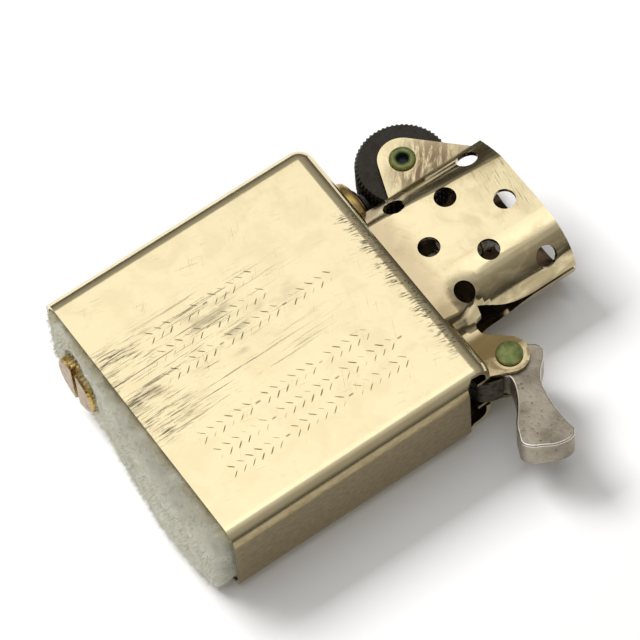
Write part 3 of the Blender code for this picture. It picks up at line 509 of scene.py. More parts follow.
def case_brass():
    """Polished sheet with streaks rubbed in from the felt end's rim, and painted shade on its narrow sides.
    """
    tone = colours()
    material, shading, place = new_material("case_brass", 1.0)
    x = shading.axis(place, "X")
    y = shading.axis(place, "Y")
    rim = CASE_LOW.y / MM
    shoulder = CASE_HIGH.y / MM
    dull = shading.mask("dulling", place, Scale=0.30, Amount=0.20)
    hair = shading.mask("hairlines", place, Angle=math.radians(12), Amount=0.42)
    cross = shading.mask("hairlines", place, Angle=math.radians(-64), Amount=0.36)

    long_lines = shading.stretched(place, (3.2, 0.10, 3.2), 5.0, 0.7, 0.15)
    short_lines = shading.stretched(place, (5.5, 0.42, 5.5), 4.0, 0.65, 0.2)
    clouds = shading.stretched(place, (0.55, 0.22, 0.55), 3.0)
    reach = shading.band(x, -10.5, -7.6, 3.0, 5.0)
    near_rim = shading.fade(y, rim + 9.5, rim + 0.5)
    along = shading.fade(y, rim + 27.0, rim + 8.0)
    rub_level = shading.plus(short_lines, shading.times(clouds, 0.55))
    rubs = shading.times(reach, near_rim, shading.fade(rub_level, 0.80, 0.96))
    lines = shading.times(reach, along, shading.fade(long_lines, 0.57, 0.63), 0.75)
    smudge_place = shading.band(x, -8.0, -6.0, -1.5, 1.5)
    smudges = shading.times(smudge_place, along, shading.fade(clouds, 0.52, 0.72), 0.5)

    fringe_edge = shading.plus(y, shading.times(shading.stretched(place, (1.1, 0.1, 1.1), 2.0), 2.4))
    fringe_area = shading.times(
        shading.band(fringe_edge, shoulder - 2.2, shoulder - 0.9, shoulder - 0.2, shoulder + 0.5),
        shading.band(x, -8.5, -6.5, 12.5, 14.5),
    )
    nicks = shading.stretched(shading.turned(place, 14.0), (5.2, 0.8, 5.2), 2.0, 0.6)
    fringe = shading.times(fringe_area, shading.fade(nicks, 0.50, 0.60), 0.9)
    front = CASE_HIGH.z / MM
    sunk = shading.fade(shading.axis(place, "Z"), front - 0.005, front - 0.04)
    engraved = shading.times(
        sunk, shading.band(x, -15.0, -14.5, 14.5, 15.0),
        shading.band(y, rim + 1.0, rim + 1.5, 14.0, 14.5),
    )
    worn = shading.most(rubs, lines, smudges, fringe, shading.times(engraved, 0.65))
    blotches = shading.fade(shading.stretched(place, (2.4, 1.2, 2.16), 5.0, 0.7), 0.30, 0.70)
    # Painted shade on the narrow sides, blotched by noise, in the tarnish colour.
    wall = CASE_HIGH.x / MM
    inside, outside = wall - 0.7, wall - 0.05
    side = shading.most(shading.fade(x, inside, outside), shading.fade(x, -inside, -outside))
    side_shade = shading.times(side, shading.fade(blotches, 0.0, 1.0, 0.74, 0.90))

    base = shading.mix(dull, tone.brass, tone.brass_shade)
    base = shading.mix(shading.times(hair, 0.35), base, tone.brass_shade)
    # Painted shade on the narrow sides.
    base = shading.mix(side_shade, base, tone.tarnish)
    base = shading.mix(shading.times(worn, 0.86), base, tone.grime)
    shading.feed("Base Color", base)
    scratches = shading.plus(hair, cross)
    shading.feed("Roughness", shading.plus(
        0.17, shading.times(dull, 0.10), shading.times(side_shade, 0.10), shading.times(worn, 0.28),
        shading.times(scratches, 0.10),
    ))
    swell = shading.noise(place, 0.9, 5.0, 0.6)
    height = shading.plus(swell, shading.times(scratches, -0.25), shading.times(worn, -0.5))
    shading.bump(height, 0.008)
    return material


def chimney_brass():
    """Formed sheet, scratched near its mouth and stained brown by the wheel, the cam and the flame, with
    painted shade at its foot and on its rounded side.
    """
    tone = colours()
    material, shading, place = new_material("chimney_brass", 1.0)
    x = shading.axis(place, "X")
    y = shading.axis(place, "Y")
    mouth = CHIMNEY_HIGH.y / MM
    dull = shading.mask("dulling", place, Scale=0.35, Amount=0.4)
    hair = shading.mask("hairlines", place, Angle=math.radians(68), Amount=0.42)
    cross = shading.mask("hairlines", place, Angle=math.radians(20), Amount=0.30)
    specks = shading.mask("specks", place, Scale=0.7, Size=0.07)

    mouth_lines = shading.stretched(shading.turned(place, 8.0), (0.35, 5.5, 5.5), 3.0, 0.6)
    mouth_rub = shading.times(
        shading.fade(y, mouth - 6.0, mouth - 1.0), shading.band(x, -5.5, -3.5, 1.5, 4.0),
        shading.fade(mouth_lines, 0.56, 0.66), 0.55,
    )
    wheel_place = (WHEEL_MIDDLE.x / MM + 3.0, WHEEL_MIDDLE.y / MM + 1.5, CENTRE_Z / MM)
    near_wheel = shading.fade(shading.distance(place, wheel_place), 6.6, 3.4)
    stain_lines = shading.stretched(shading.turned(place, -52.0), (1.6, 0.35, 1.6), 4.0, 0.65, 0.3)
    on_ear = shading.fade(x, -7.0, -7.6)
    stain = shading.times(near_wheel, on_ear, shading.fade(stain_lines, 0.36, 0.56), 0.95)
    # Painted shade at the chimney's foot, darker towards the can's top, in the brown stain colour.
    foot = CASE_HIGH.y / MM
    foot_shade = shading.times(shading.fade(y, foot + 3.2, foot), 0.45)
    cam_reach = shading.reach(place, CAM_MIDDLE)
    ear_cloud = shading.stretched(shading.turned(place, 40.0), (0.9, 0.4, 0.9), 4.0, 0.6, 0.5)
    ear_side = shading.fade(shading.plus(x, shading.times(ear_cloud, 3.0)), 17.8, 16.0)
    cam_stain = shading.times(shading.fade(x, 11.2, 12.4), ear_side, 0.95)
    cam_rim = shading.times(
        shading.band(cam_reach, 1.75, 2.0, 2.6, 2.8), shading.fade(ear_cloud, 0.40, 0.58), 0.7
    )
    cam_stain = shading.most(cam_stain, cam_rim)
    flame_cloud = shading.stretched(place, (0.7, 0.3, 0.7), 4.0, 0.6, 0.4)
    flame_place = shading.minus(x, shading.times(shading.fade(y, 18.0, mouth), 2.2))
    flame = shading.times(
        shading.fade(flame_place, -4.6, -6.4), shading.fade(x, -7.6, -7.3),
        shading.fade(flame_cloud, 0.2, 0.6), 0.75,
    )
    # Painted shade fading in across the chimney's rounded side, mottled by noise.
    round_side_shade = shading.times(shading.fade(x, 6.0, 8.4), shading.fade(flame_cloud, 0.25, 0.6), 0.6)

    base = shading.mix(dull, tone.brass, tone.brass_shade)
    base = shading.mix(shading.times(hair, 0.3), base, tone.brass_shade)
    base = shading.mix(stain, base, tone.heat_stain_and_shade)
    base = shading.mix(shading.most(shading.times(specks, 0.7), mouth_rub), base, tone.grime)
    # Painted shade at the foot, then painted shade on the rounded side together with tarnish by the flame.
    base = shading.mix(foot_shade, base, tone.heat_stain_and_shade)
    base = shading.mix(shading.most(flame, round_side_shade), base, tone.tarnish)
    base = shading.mix(cam_stain, base, tone.ear_tarnish)
    shading.feed("Base Color", base)
    shading.feed("Roughness", shading.plus(
        0.13, shading.times(dull, 0.10), shading.times(stain, 0.25),
        shading.times(shading.plus(hair, mouth_rub), 0.12),
    ))
    swell = shading.noise(place, 0.5, 2.0)
    height = shading.plus(swell, shading.times(shading.plus(hair, cross), -0.22))
    shading.bump(height, 0.007)
    return material


def inner_soot_and_shade():
    """Inner faces: burnt, with brown patches, inside the chimney, and painted shade inside the can."""
    tone = colours()
    material, shading, place = new_material("inner_soot_and_shade", 1.0)
    patches = shading.mask("dulling", place, Scale=0.45, Amount=1.0)
    grain = shading.group("grain", place, Scale=5.0)
    shading.feed("Base Color", shading.mix(
        shading.times(patches, 0.5), tone.soot_and_shade, tone.heat_stain_and_shade
    ))
    shading.feed("Roughness", shading.fade(patches, 0.0, 1.0, 0.62, 0.42))
    shading.bump(grain["Height"], 0.02)
    return material


def patina_brass(name, centre, bore_shade):
    """Rivet brass under a green coat, rubbed back to metal round its rim. A tubular rivet's bore gets
    painted shade.
    """
    tone = colours()
    material, shading, place = new_material(name, 1.0)
    reach = shading.reach(place, centre)
    cloud = shading.noise(place, 1.3, 4.0, 0.6, 0.4)
    grain = shading.group("grain", place, Scale=7.0)
    green = shading.mix(shading.fade(cloud, 0.38, 0.66), tone.patina, tone.patina_pale)
    bare = shading.times(shading.fade(reach, 1.28, 1.48), shading.fade(cloud, 0.40, 0.62))
    base = shading.mix(shading.times(bare, 0.8), green, tone.gold)
    # Painted shade in the tubular rivet's bore.
    if bore_shade:
        base = shading.mix(shading.fade(reach, 0.86, 0.60), base, (0.012, 0.018, 0.028))
    shading.feed("Base Color", base)
    shading.feed("Metallic", shading.fade(bare, 0.0, 1.0, 0.35, 1.0))
    shading.feed("Roughness", shading.fade(cloud, 0.3, 0.7, 0.28, 0.5))
    height = shading.plus(cloud, shading.times(grain["Height"], 0.4))
    shading.bump(height, 0.03)
    return material


def wheel_steel():
    """Blackened steel with brown grime on its sides and bare glints on its teeth."""
    tone = colours()
    material, shading, place = new_material("wheel_steel", 0.85)
    reach = shading.reach(place, WHEEL_MIDDLE)
    grain = shading.group("grain", place, Scale=4.0)
    cloud = shading.noise(place, 0.6, 4.0, 0.6)
    radius = (WHEEL_HIGH.x - WHEEL_LOW.x) / 2 / MM
    tips = shading.times(
        shading.fade(reach, radius - 0.16, radius - 0.02), shading.fade(cloud, 0.40, 0.62)
    )
    base = shading.mix(shading.fade(cloud, 0.40, 0.70), tone.wheel, (0.050, 0.038, 0.028))
    base = shading.mix(shading.times(tips, 0.55), base, (0.16, 0.14, 0.12))
    shading.feed("Base Color", base)
    shading.feed("Roughness", shading.fade(grain["Height"], 0.3, 0.7, 0.36, 0.58))
    shading.bump(grain["Height"], 0.02)
    return material


def cam_steel(name, polished):
    """Sintered steel: porous faces, or edges rubbed smooth by the lid."""
    tone = colours()
    material, shading, place = new_material(name, 1.0)
    grain = shading.group("grain", place, Scale=2.4)
    cloud = shading.noise(place, 0.35, 4.0, 0.6)
    pores = shading.times(grain["Pores"], 0.15 if polished else 0.8)
    base = shading.mix(
        shading.times(shading.fade(cloud, 0.35, 0.7), 0.35), tone.cam, tone.cam_dark
    )
    if polished:
        base = shading.mix(shading.fade(cloud, 0.3, 0.7), (0.74, 0.70, 0.62), (0.60, 0.56, 0.48))
    base = shading.mix(pores, base, tone.cam_dark)
    shading.feed("Base Color", base)
    low, high = (0.16, 0.28) if polished else (0.40, 0.56)
    shading.feed("Roughness", shading.fade(cloud, 0.3, 0.7, low, high))
    shading.bump(grain["Height"], 0.008 if polished else 0.035)
    return material


def plain_metal(name, clean, worn, roughness, scratch_angle=0.0):
    """Turned or drawn metal with dull patches, hairlines and a fine grain."""
    material, shading, place = new_material(name, 1.0)
    dull = shading.mask("dulling", place, Scale=0.9, Amount=0.9)
    hair = shading.mask("hairlines", place, Angle=math.radians(scratch_angle), Amount=0.5)
    grain = shading.group("grain", place, Scale=9.0)
    base = shading.mix(dull, clean, worn)
    base = shading.mix(shading.times(hair, 0.4), base, worn)
    shading.feed("Base Color", base)
    shading.feed("Roughness", shading.fade(dull, 0.0, 1.0, roughness, roughness + 0.2))
    height = shading.minus(grain["Height"], hair)
    shading.bump(height, 0.008)
    return material


# ---------------------------------------------------------------- fabrics

def felt_wool():
    """Pressed wool felt: mottled off-white, yellowed by fuel beside the rim, with a few dark specks."""
    tone = colours()
    material, shading, place = new_material("felt_wool", 0.0, 1.0, Sheen_Weight=0.35, Sheen_Roughness=0.6)
    y = shading.axis(place, "Y")
    z = shading.axis(place, "Z")
    mottle = shading.noise(place, 0.5, 5.0, 0.6)
    fibres = shading.stretched(place, (5.0, 9.0, 7.0), 4.0, 0.75, 0.8)
    specks = shading.mask("specks", place, Scale=0.22, Size=0.055)
    rim = CASE_LOW.y / MM
    edge = shading.times(shading.fade(y, rim - 1.2, rim), shading.fade(z, 7.5, 10.2))
    stain = shading.times(edge, shading.fade(mottle, 0.34, 0.56))
    base = shading.mix(shading.fade(mottle, 0.3, 0.7), tone.felt, (0.68, 0.67, 0.55))
    base = shading.mix(shading.times(shading.fade(fibres, 0.52, 0.36), 0.35), base, (0.52, 0.52, 0.43))
    base = shading.mix(shading.times(stain, 0.6), base, tone.felt_stain)
    base = shading.mix(shading.times(specks, 0.8), base, (0.14, 0.12, 0.09))
    shading.feed("Base Color", base)
    shading.bump(fibres, 0.16, 0.8)
    return material


def cotton(name):
    """Soft cotton with tangled fibres."""
    tone = colours()
    material, shading, place = new_material(name, 0.0, 1.0, Sheen_Weight=0.3)
    tangle = shading.noise(place, 3.0, 5.0, 0.75, 1.2)
    mottle = shading.noise(place, 0.4, 3.0)
    base = shading.mix(shading.fade(mottle, 0.3, 0.7), tone.cotton, (0.66, 0.62, 0.50))
    base = shading.mix(shading.times(shading.fade(tangle, 0.5, 0.35), 0.4), base, (0.5, 0.46, 0.36))
    shading.feed("Base Color", base)
    shading.bump(tangle, 0.15)
    return material


# ---------------------------------------------------------------- case

ROW_STEP = 2.55 * MM
WHEEL_SIDE_ROWS = -7.2 * MM
CAM_SIDE_ROWS = 5.95 * MM
MARK_ROWS = (
    (WHEEL_SIDE_ROWS, -10.8 * MM, 3.9 * MM),
    (WHEEL_SIDE_ROWS + ROW_STEP, -12.1 * MM, 3.8 * MM),
    (WHEEL_SIDE_ROWS + ROW_STEP * 2, -12.1 * MM, 10.7 * MM),
    (CAM_SIDE_ROWS, -13.0 * MM, 9.7 * MM),
    (CAM_SIDE_ROWS + ROW_STEP, -12.7 * MM, 11.5 * MM),
    (CAM_SIDE_ROWS + ROW_STEP * 2, -12.7 * MM, 10.7 * MM),
)
ARM_ANGLE = math.radians(42)
MARKS_PER_RUN = 6


def engraving_cuts():
    """Six rows of wheat-ear chevrons with a lozenge after every few, each cut a narrow sunk pyramid."""
    given = sizes()
    wear = random.Random(11)
    builder = bmesh.new()
    proud = 0.1

    def cut(x, y, long_size, wide_size, angle):
        depth = given.mark_depth * wear.uniform(0.45, 1.15)
        made = bmesh.ops.create_cone(
            builder, cap_ends=True, segments=4, radius1=0.0, radius2=0.5 * math.sqrt(2), depth=1.0,
            matrix=Matrix.Rotation(math.radians(45), 4, "Z"),
        )["verts"]
        size = Matrix.Diagonal((
            wide_size * (1 + proud), long_size * (1 + proud), depth * (1 + proud), 1.0,
        ))
        turn = Matrix.Rotation(angle, 4, "Z")
        move = Matrix.Translation((x, y, CASE_HIGH.z + depth * (proud - 1) / 2))
        bmesh.ops.transform(builder, verts=made, matrix=move @ turn @ size)

    for x, start, end in MARK_ROWS:
        count = int((end - start) / given.mark_step)
        for index in range(count):
            y = start + given.mark_step * (index + 0.5)
            if index % (MARKS_PER_RUN + 1) == MARKS_PER_RUN:
                cut(x, y, given.mark_length * 0.7, given.mark_width * 2.4, 0.0)
                continue
            for side in (-1, 1):
                cut(
                    x + side * given.mark_length * 0.44, y, given.mark_length * wear.uniform(0.85, 1.0),
                    given.mark_width * wear.uniform(0.6, 1.1), side * ARM_ANGLE,
                )
    return add_object("engraving_cuts", builder, ())


def make_case():
    builder = merged_copy("case_shell")
    core = (CASE_LOW + CASE_HIGH) / 2
    # Inward faces take the second material: painted shade inside the can.
    for face in builder.faces:
        if face.normal.dot(face.calc_center_median() - core) < 0.0:
            face.material_index = 1
    piece = add_piece("case_skin", builder, (case_brass(), inner_soot_and_shade()), "case_shell", "brass_sheet", 30.0)
    carve(piece, engraving_cuts())
    piece.data.set_sharp_from_angle(angle=math.radians(30))
    soften(piece, sizes().sheet_edge, angle=40.0)


# ---------------------------------------------------------------- chimney

def make_chimney():
    """Polished outside and sooty inside; small faces and cut edges stay polished."""
    builder = merged_copy("chimney")
    middle_x = (WICK_LOW.x + WICK_HIGH.x) / 2
    smallest_sheet = (0.3 * MM) ** 2
    for face in builder.faces:
        middle = face.calc_center_median()
        inward = Vector((middle_x - middle.x, 0.0, CENTRE_Z - middle.z)).normalized()
        sheet_face = face.calc_area() > smallest_sheet and abs(face.normal.y) < 0.5
        if sheet_face and face.normal.dot(inward) > 0.35:
            face.material_index = 1
    materials = (chimney_brass(), bpy.data.materials["inner_soot_and_shade"])
    piece = add_piece("chimney_skin", builder, materials, "chimney", "brass_sheet", 30.0)
    soften(piece, sizes().sheet_edge, angle=40.0)


# ---------------------------------------------------------------- wheel and rivets

def make_wheel():
    """Wheel with a cross-cut rim: each layer of teeth stands half a tooth round from the one below."""
    given = sizes()
    points = given.wheel_teeth * 2
    radius = (WHEEL_HIGH.x - WHEEL_LOW.x) / 2
    bore = (RIVET_HIGH.x - RIVET_LOW.x) / 2 * 0.75
    chamfer = 0.3 * MM
    face_inset = chamfer * 2.2
    edge_depth = given.tooth_depth * 0.3
    width = WHEEL_HIGH.z - WHEEL_LOW.z
    layers = 9

    def rim(z, inset, shift, depth):
        def place(index):
            angle = 2 * math.pi * (index + shift) / points
            reach = radius - inset - (depth if index % 2 else 0.0)
            return Vector((
                WHEEL_MIDDLE.x + reach * math.cos(angle), WHEEL_MIDDLE.y + reach * math.sin(angle), z
            ))
        return place

    builder = bmesh.new()
    ring = bmesh.ops.create_circle(builder, cap_ends=False, segments=points, radius=bore)["verts"]
    face_shift = 0.5
    first = rim(WHEEL_LOW.z, radius - bore, face_shift, 0.0)
    for index, vert in enumerate(ring):
        vert.co = first(index)
    steps = [
        (WHEEL_LOW.z, face_inset, face_shift, 0.0), (WHEEL_LOW.z, chamfer, face_shift, edge_depth),
    ]
    for layer in range(layers):
        share = layer / (layers - 1)
        steps.append((
            WHEEL_LOW.z + chamfer + (width - chamfer * 2) * share, 0.0,
            face_shift + (0.5 if layer % 2 else 0.0), given.tooth_depth,
        ))
    steps += [
        (WHEEL_HIGH.z, chamfer, face_shift, edge_depth), (WHEEL_HIGH.z, face_inset, face_shift, 0.0),
        (WHEEL_HIGH.z, radius - bore, face_shift, 0.0),
    ]
    last = ring
    for z, inset, shift, depth in steps:
        last = extruded_ring(builder, last, rim(z, inset, shift, depth))
    edges = [edge for edge in builder.edges if edge.is_boundary]
    bmesh.ops.bridge_loops(builder, edges=edges)
    bmesh.ops.recalc_face_normals(builder, faces=builder.faces)
    add_piece("wheel_teeth", builder, (wheel_steel(),), "flint_wheel", "wheel_steel", 22.0)


RIVET_SIDES = 48


def make_rivets():
    """A tubular rivet through the wheel and a domed one through the cam."""
    head = (RIVET_HIGH.x - RIVET_LOW.x) / 2
    reach = (RIVET_HIGH.z - RIVET_LOW.z) / 2
    shaft = head * 0.67
    bore = head * 0.43
    lip = 0.35 * MM
    seat = reach - lip
    rolled = []
    steps = 10
    dome_fullness = 0.55
    for index in range(steps + 1):
        angle = math.pi * index / steps
        rolled.append((
            (head + bore) / 2 + (head - bore) / 2 * math.cos(angle), seat + lip * math.sin(angle),
        ))
    top = [(shaft, seat), (head * 0.98, seat), *rolled, (bore, seat - lip * 2)]
    lower = [(radius, -height) for radius, height in top[::-1]]
    middle = Vector((WHEEL_MIDDLE.x, WHEEL_MIDDLE.y, CENTRE_Z))
    core = [(0.0, seat - lip * 2), (0.0, -seat + lip * 2)]
    profile = core[:1] + top[::-1] + lower[::-1] + core[1:]
    builder = turned(profile, middle, (0, 0, 1), RIVET_SIDES)
    add_piece(
        "wheel_rivet_head", builder, (patina_brass("tube_patina", WHEEL_MIDDLE, True),), "wheel_rivet",
        "green_brass", 50.0,
    )

    reach = (CAM_RIVET_HIGH.z - CAM_RIVET_LOW.z) / 2
    seat = reach - lip
    dome = []
    for index in range(steps + 1):
        angle = math.pi / 2 * index / steps
        dome.append((head * math.cos(angle) ** dome_fullness, seat + lip * math.sin(angle)))
    dome[-1] = (0.0, reach)
    top = [(head * 0.63, seat), (head, seat), *dome[1:]]
    profile = [(radius, -height) for radius, height in top[::-1]] + top
    builder = turned(profile, CAM_MIDDLE, (0, 0, 1), RIVET_SIDES)
    add_piece(
        "cam_rivet_head", builder, (patina_brass("dome_patina", CAM_MIDDLE, False),), "cam_rivet",
        "green_brass", 50.0,
    )


# ---------------------------------------------------------------- cam, springs and small metal

def make_cam():
    """The cam with its edges rubbed bright, and the leaf spring and rivet that press on it."""
    given = sizes()
    materials = (cam_steel("cam_face", False), cam_steel("cam_edge", True))
    piece = add_piece("cam_lever", merged_copy("cam"), materials, "cam", "cam_steel", 30.0)
    soften(piece, given.cam_edge, 4, edge_material=1, angle=50.0)
    tone = colours()
    burnt = plain_metal("leaf_steel", tone.cam_dark, tone.soot_and_shade, 0.38)
    gold = plain_metal("turned_brass", tone.gold, tone.heat_stain_and_shade, 0.26)
    for name, node, slot, material, angle in (
        ("leaf_spring", "cam_spring", "spring_steel", burnt, 30.0),
        ("leaf_rivet", "cam_spring_rivet", "brass_turned", gold, 40.0),
    ):
        soften(add_piece(name, merged_copy(node), (material,), node, slot, angle), given.turned_edge)


def make_flint_feed():
    """The tube and all it holds. The coil gets a mesh of its own."""
    tone = colours()
    given = sizes()
    gold = bpy.data.materials["turned_brass"]
    copper = plain_metal("coppery_brass", tone.copper, tone.heat_stain_and_shade, 0.24)
    knurled = plain_metal("knurled_brass", tone.gold, tone.heat_stain_and_shade, 0.24, 90.0)
    flint = plain_metal("flint_metal", tone.flint, tone.wheel, 0.55)
    steel = plain_metal("spring_steel", tone.steel, tone.cam_dark, 0.22)
    for name, node, slot, materials, edge in (
        ("feed_tube", "flint_tube", "brass_turned", (copper,), True),
        ("feed_collar", "tube_collar", "brass_turned", (gold,), False),
        ("flint_rod", "flint", "flint_metal", (flint,), True),
        ("feed_tip", "spring_tip", "brass_turned", (gold,), True),
        ("feed_coil", "flint_spring", "spring_steel", (steel,), False),
    ):
        piece = add_piece(name, merged_copy(node), materials, node, slot, 40.0)
        if edge:
            soften(piece, given.turned_edge)
        if node == "flint_spring":
            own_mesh(piece)
    builder = merged_copy("flint_screw")
    for face in builder.faces:
        if face.normal.y < -0.7:
            face.material_index = 1
    screw = add_piece("feed_screw", builder, (knurled, copper), "flint_screw", "brass_turned", 25.0)
    soften(screw, given.turned_edge * 0.8)


# ---------------------------------------------------------------- felt, packing and wick

def lumpy(builder, height, coarse, fine, seed):
    """Push the surface in and out along its normals by soft noise."""
    builder.normal_update()
    shift = Vector((seed * 7.3, seed * 3.1, seed * 5.7))
    moves = []
    for vert in builder.verts:
        place = vert.co / MM + shift
        waves = ((0.6, coarse), (0.25, fine), (0.15, fine * 2.7))
        lump = sum(noise.noise(place * scale) * share for share, scale in waves)
        moves.append(vert.normal * height * lump)
    for vert, move in zip(builder.verts, moves):
        vert.co += move


def voxelled(builder, voxel, rounds):
    """Rebuild a closed shape on an even grid and smooth it."""
    rough = add_object("rough_shape", builder, ())
    grid = rough.modifiers.new("grid", "REMESH")
    grid.mode = "VOXEL"
    grid.voxel_size = voxel
    settle(rough)
    result = bmesh.new()
    result.from_mesh(rough.data)
    bpy.data.objects.remove(rough)
    for _ in range(rounds):
        bmesh.ops.smooth_vert(
            result, verts=result.verts, factor=0.5, use_axis_x=True, use_axis_y=True, use_axis_z=True
        )
    return result


def add_fibres(surface, wool):
    """Loose fibres that stand out of the felt's outer face, each a closed sliver."""
    given = sizes()
    pick = random.Random(5)
    root_depth = 0.05 * MM
    outer_end = CASE_LOW.y + 0.4 * MM
    outer = [face for face in surface.faces if face.calc_center_median().y < outer_end]
    builder = bmesh.new()
    for _ in range(given.fibre_count):
        face = pick.choice(outer)
        root = face.calc_center_median() - face.normal * root_depth
        lean = Vector([pick.gauss(0.0, 1.0) for _ in range(3)])
        way = (face.normal * pick.uniform(0.25, 1.1) + lean * 0.55).normalized()
        span = given.fibre_length * pick.uniform(0.35, 1.0)
        turn = way.to_track_quat("Z", "Y").to_matrix().to_4x4()
        bmesh.ops.create_cone(
            builder, cap_ends=True, segments=3, radius1=0.026 * MM, radius2=0.008 * MM, depth=span,
            matrix=Matrix.Translation(root + way * span / 2) @ turn,
        )
    return add_object("felt_fibres", builder, (wool,), 80.0)


def make_felt():
    """One piece of felt grown from the pad, the flap and a block that joins them, with a fuzz of fibres."""
    given = sizes()
    wool = felt_wool()
    pad_low, pad_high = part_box("felt_pad")
    flap_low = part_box("felt_flap")[0]
    builder = merged_copy("felt_pad", "felt_flap")
    overlap = 1.0 * MM
    edge_gap = 0.3 * MM
    joint_low = Vector((pad_high.x - overlap, CASE_LOW.y - 1.35 * MM, pad_low.z + edge_gap))
    joint_high = Vector((flap_low.x + overlap, pad_high.y - 0.1 * MM, pad_high.z - edge_gap))
    joint_size = Matrix.Diagonal((*(joint_high - joint_low), 1.0))
    bmesh.ops.create_cube(
        builder, size=1.0, matrix=Matrix.Translation((joint_low + joint_high) / 2) @ joint_size
    )
    surface = voxelled(builder, given.felt_voxel, 5)
    lumpy(surface, given.felt_lump * 1.6, 0.45, 1.9, 1)
    fibres = add_fibres(surface, wool)
    felt = add_object("felt_piece", surface, (wool,), 80.0)
    for piece in (felt, fibres):
        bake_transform(piece)
        bpy.data.collections["felt_lit"].objects.link(piece)
    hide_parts("felt_pad", "felt_flap")


def make_packing():
    """Five pads of cotton, each grown from its own block."""
    given = sizes()
    material = cotton("packing_cotton")
    nodes = sorted(name for name in frame["nodes"] if name.startswith("packing_"))
    for number, node in enumerate(nodes, start=1):
        surface = voxelled(merged_copy(node), given.felt_voxel * 2, 3)
        lumpy(surface, given.packing_lump * 1.6, 0.5, 1.6, number)
        piece = add_piece(f"cotton_{number}", surface, (material,), node, "packing_cotton", 80.0)


def make_wick():
    """Six strands laid round each other, with the copper wire wound over them."""
    tone = colours()
    radius = (WICK_HIGH.x - WICK_LOW.x) / 2
    middle = (WICK_LOW + WICK_HIGH) / 2
    strands = 6
    points = strands * 8
    span = WICK_HIGH.y - WICK_LOW.y
    layers = 72
    twist = math.radians(14)

    def lobes(layer):
        y = WICK_LOW.y + span * layer / layers

        def place(index):
            angle = 2 * math.pi * index / points
            reach = radius * (0.80 + 0.20 * abs(math.cos(angle * strands / 2)))
            angle += twist * layer
            return Vector((middle.x + reach * math.sin(angle), y, middle.z + reach * math.cos(angle)))
        return place

    builder = bmesh.new()
    ring = bmesh.ops.create_circle(builder, cap_ends=False, segments=points, radius=radius)["verts"]
    start = lobes(0)
    for index, vert in enumerate(ring):
        vert.co = start(index)
    last = ring
    for layer in range(1, layers + 1):
        last = extruded_ring(builder, last, lobes(layer))
    bmesh.ops.holes_fill(builder, edges=[edge for edge in builder.edges if edge.is_boundary])
    bmesh.ops.recalc_face_normals(builder, faces=builder.faces)
    add_piece("wick_strands", builder, (cotton("wick_cotton"),), "wick", "wick_cotton", 60.0)
    copper = plain_metal("wick_copper", tone.copper, tone.heat_stain_and_shade, 0.3)
    add_piece("wick_winding", merged_copy("wick_wire"), (copper,), "wick_wire", "copper", 60.0)


# ---------------------------------------------------------------- stage

def make_floor():
    tone = stage_settings()
    builder = bmesh.new()
    bmesh.ops.create_grid(builder, x_segments=1, y_segments=1, size=3.0)
    bmesh.ops.translate(builder, verts=builder.verts, vec=(0.0, 0.0, CASE_LOW.z - 0.02 * MM))
    material, shading, place = new_material("floor_card", 0.0, 0.9, Specular_IOR_Level=0.1)
    grain = shading.noise(place, 0.02, 2.0)
    shading.feed("Base Color", shading.mix(
        grain, tone.floor, tuple(value * 0.985 for value in tone.floor)
    ))
    floor = add_object("floor", builder, (material,))


def add_softbox(name, place, width, height, energy, target=None):
    """Rectangular light with its width along X. It shines straight down, or at its target."""
    data = bpy.data.lights.new(name, "AREA")
    data.shape = "RECTANGLE"
    data.size = width
    data.size_y = height
    data.energy = energy
    lamp = bpy.data.objects.new(name, data)
    lamp.location = place
    if target:
        lamp.rotation_euler = (Vector(target) - Vector(place)).to_track_quat("-Z", "Y").to_euler()
    bpy.context.scene.collection.objects.link(lamp)
    return lamp


def make_world():
    """Room light: pale overhead, darker towards the horizon."""
    world = bpy.data.worlds.new("studio")
    bpy.context.scene.world = world
    world.use_nodes = True
    shading = Shading(world.node_tree)
    background = world.node_tree.nodes["Background"]
    height = shading.axis(shading.add("ShaderNodeTexCoord").outputs["Generated"], "Z")
    ramp = shading.add("ShaderNodeValToRGB", {"Fac": height})
    stops = ramp.color_ramp.elements
    stops[0].position, stops[0].color = 0.0, (0.10, 0.09, 0.07, 1.0)
    stops[1].position, stops[1].color = 1.0, (1.0, 1.0, 1.0, 1.0)
    for position, level in ((0.22, 0.14), (0.50, 0.42), (0.78, 0.50)):
        stop = stops.new(position)
        stop.color = (level, level * 0.97, level * 0.92, 1.0)
    shading.put(background.inputs["Color"], ramp.outputs["Color"])
    background.inputs["Strength"].default_value = stage_settings().sky_strength


def make_camera():
    given = stage_settings()
    aim = Vector((given.aim_x, given.aim_y, CENTRE_Z))
    back = Vector((
        math.sin(given.azimuth) * math.cos(given.elevation),
        -math.cos(given.azimuth) * math.cos(given.elevation),
        math.sin(given.elevation),
    ))
    data = bpy.data.cameras.new("camera")
    data.lens = given.focal_length
    data.clip_start, data.clip_end = 0.01, 20.0
    camera = bpy.data.objects.new("camera", data)
    camera.rotation_mode = "QUATERNION"
    camera.location = aim + back * given.distance
    roll = Matrix.Rotation(-given.roll, 3, "Z").to_quaternion()
    camera.rotation_quaternion = (-back).to_track_quat("-Z", "Y") @ roll
    bpy.context.scene.collection.objects.link(camera)
    bpy.context.scene.camera = camera


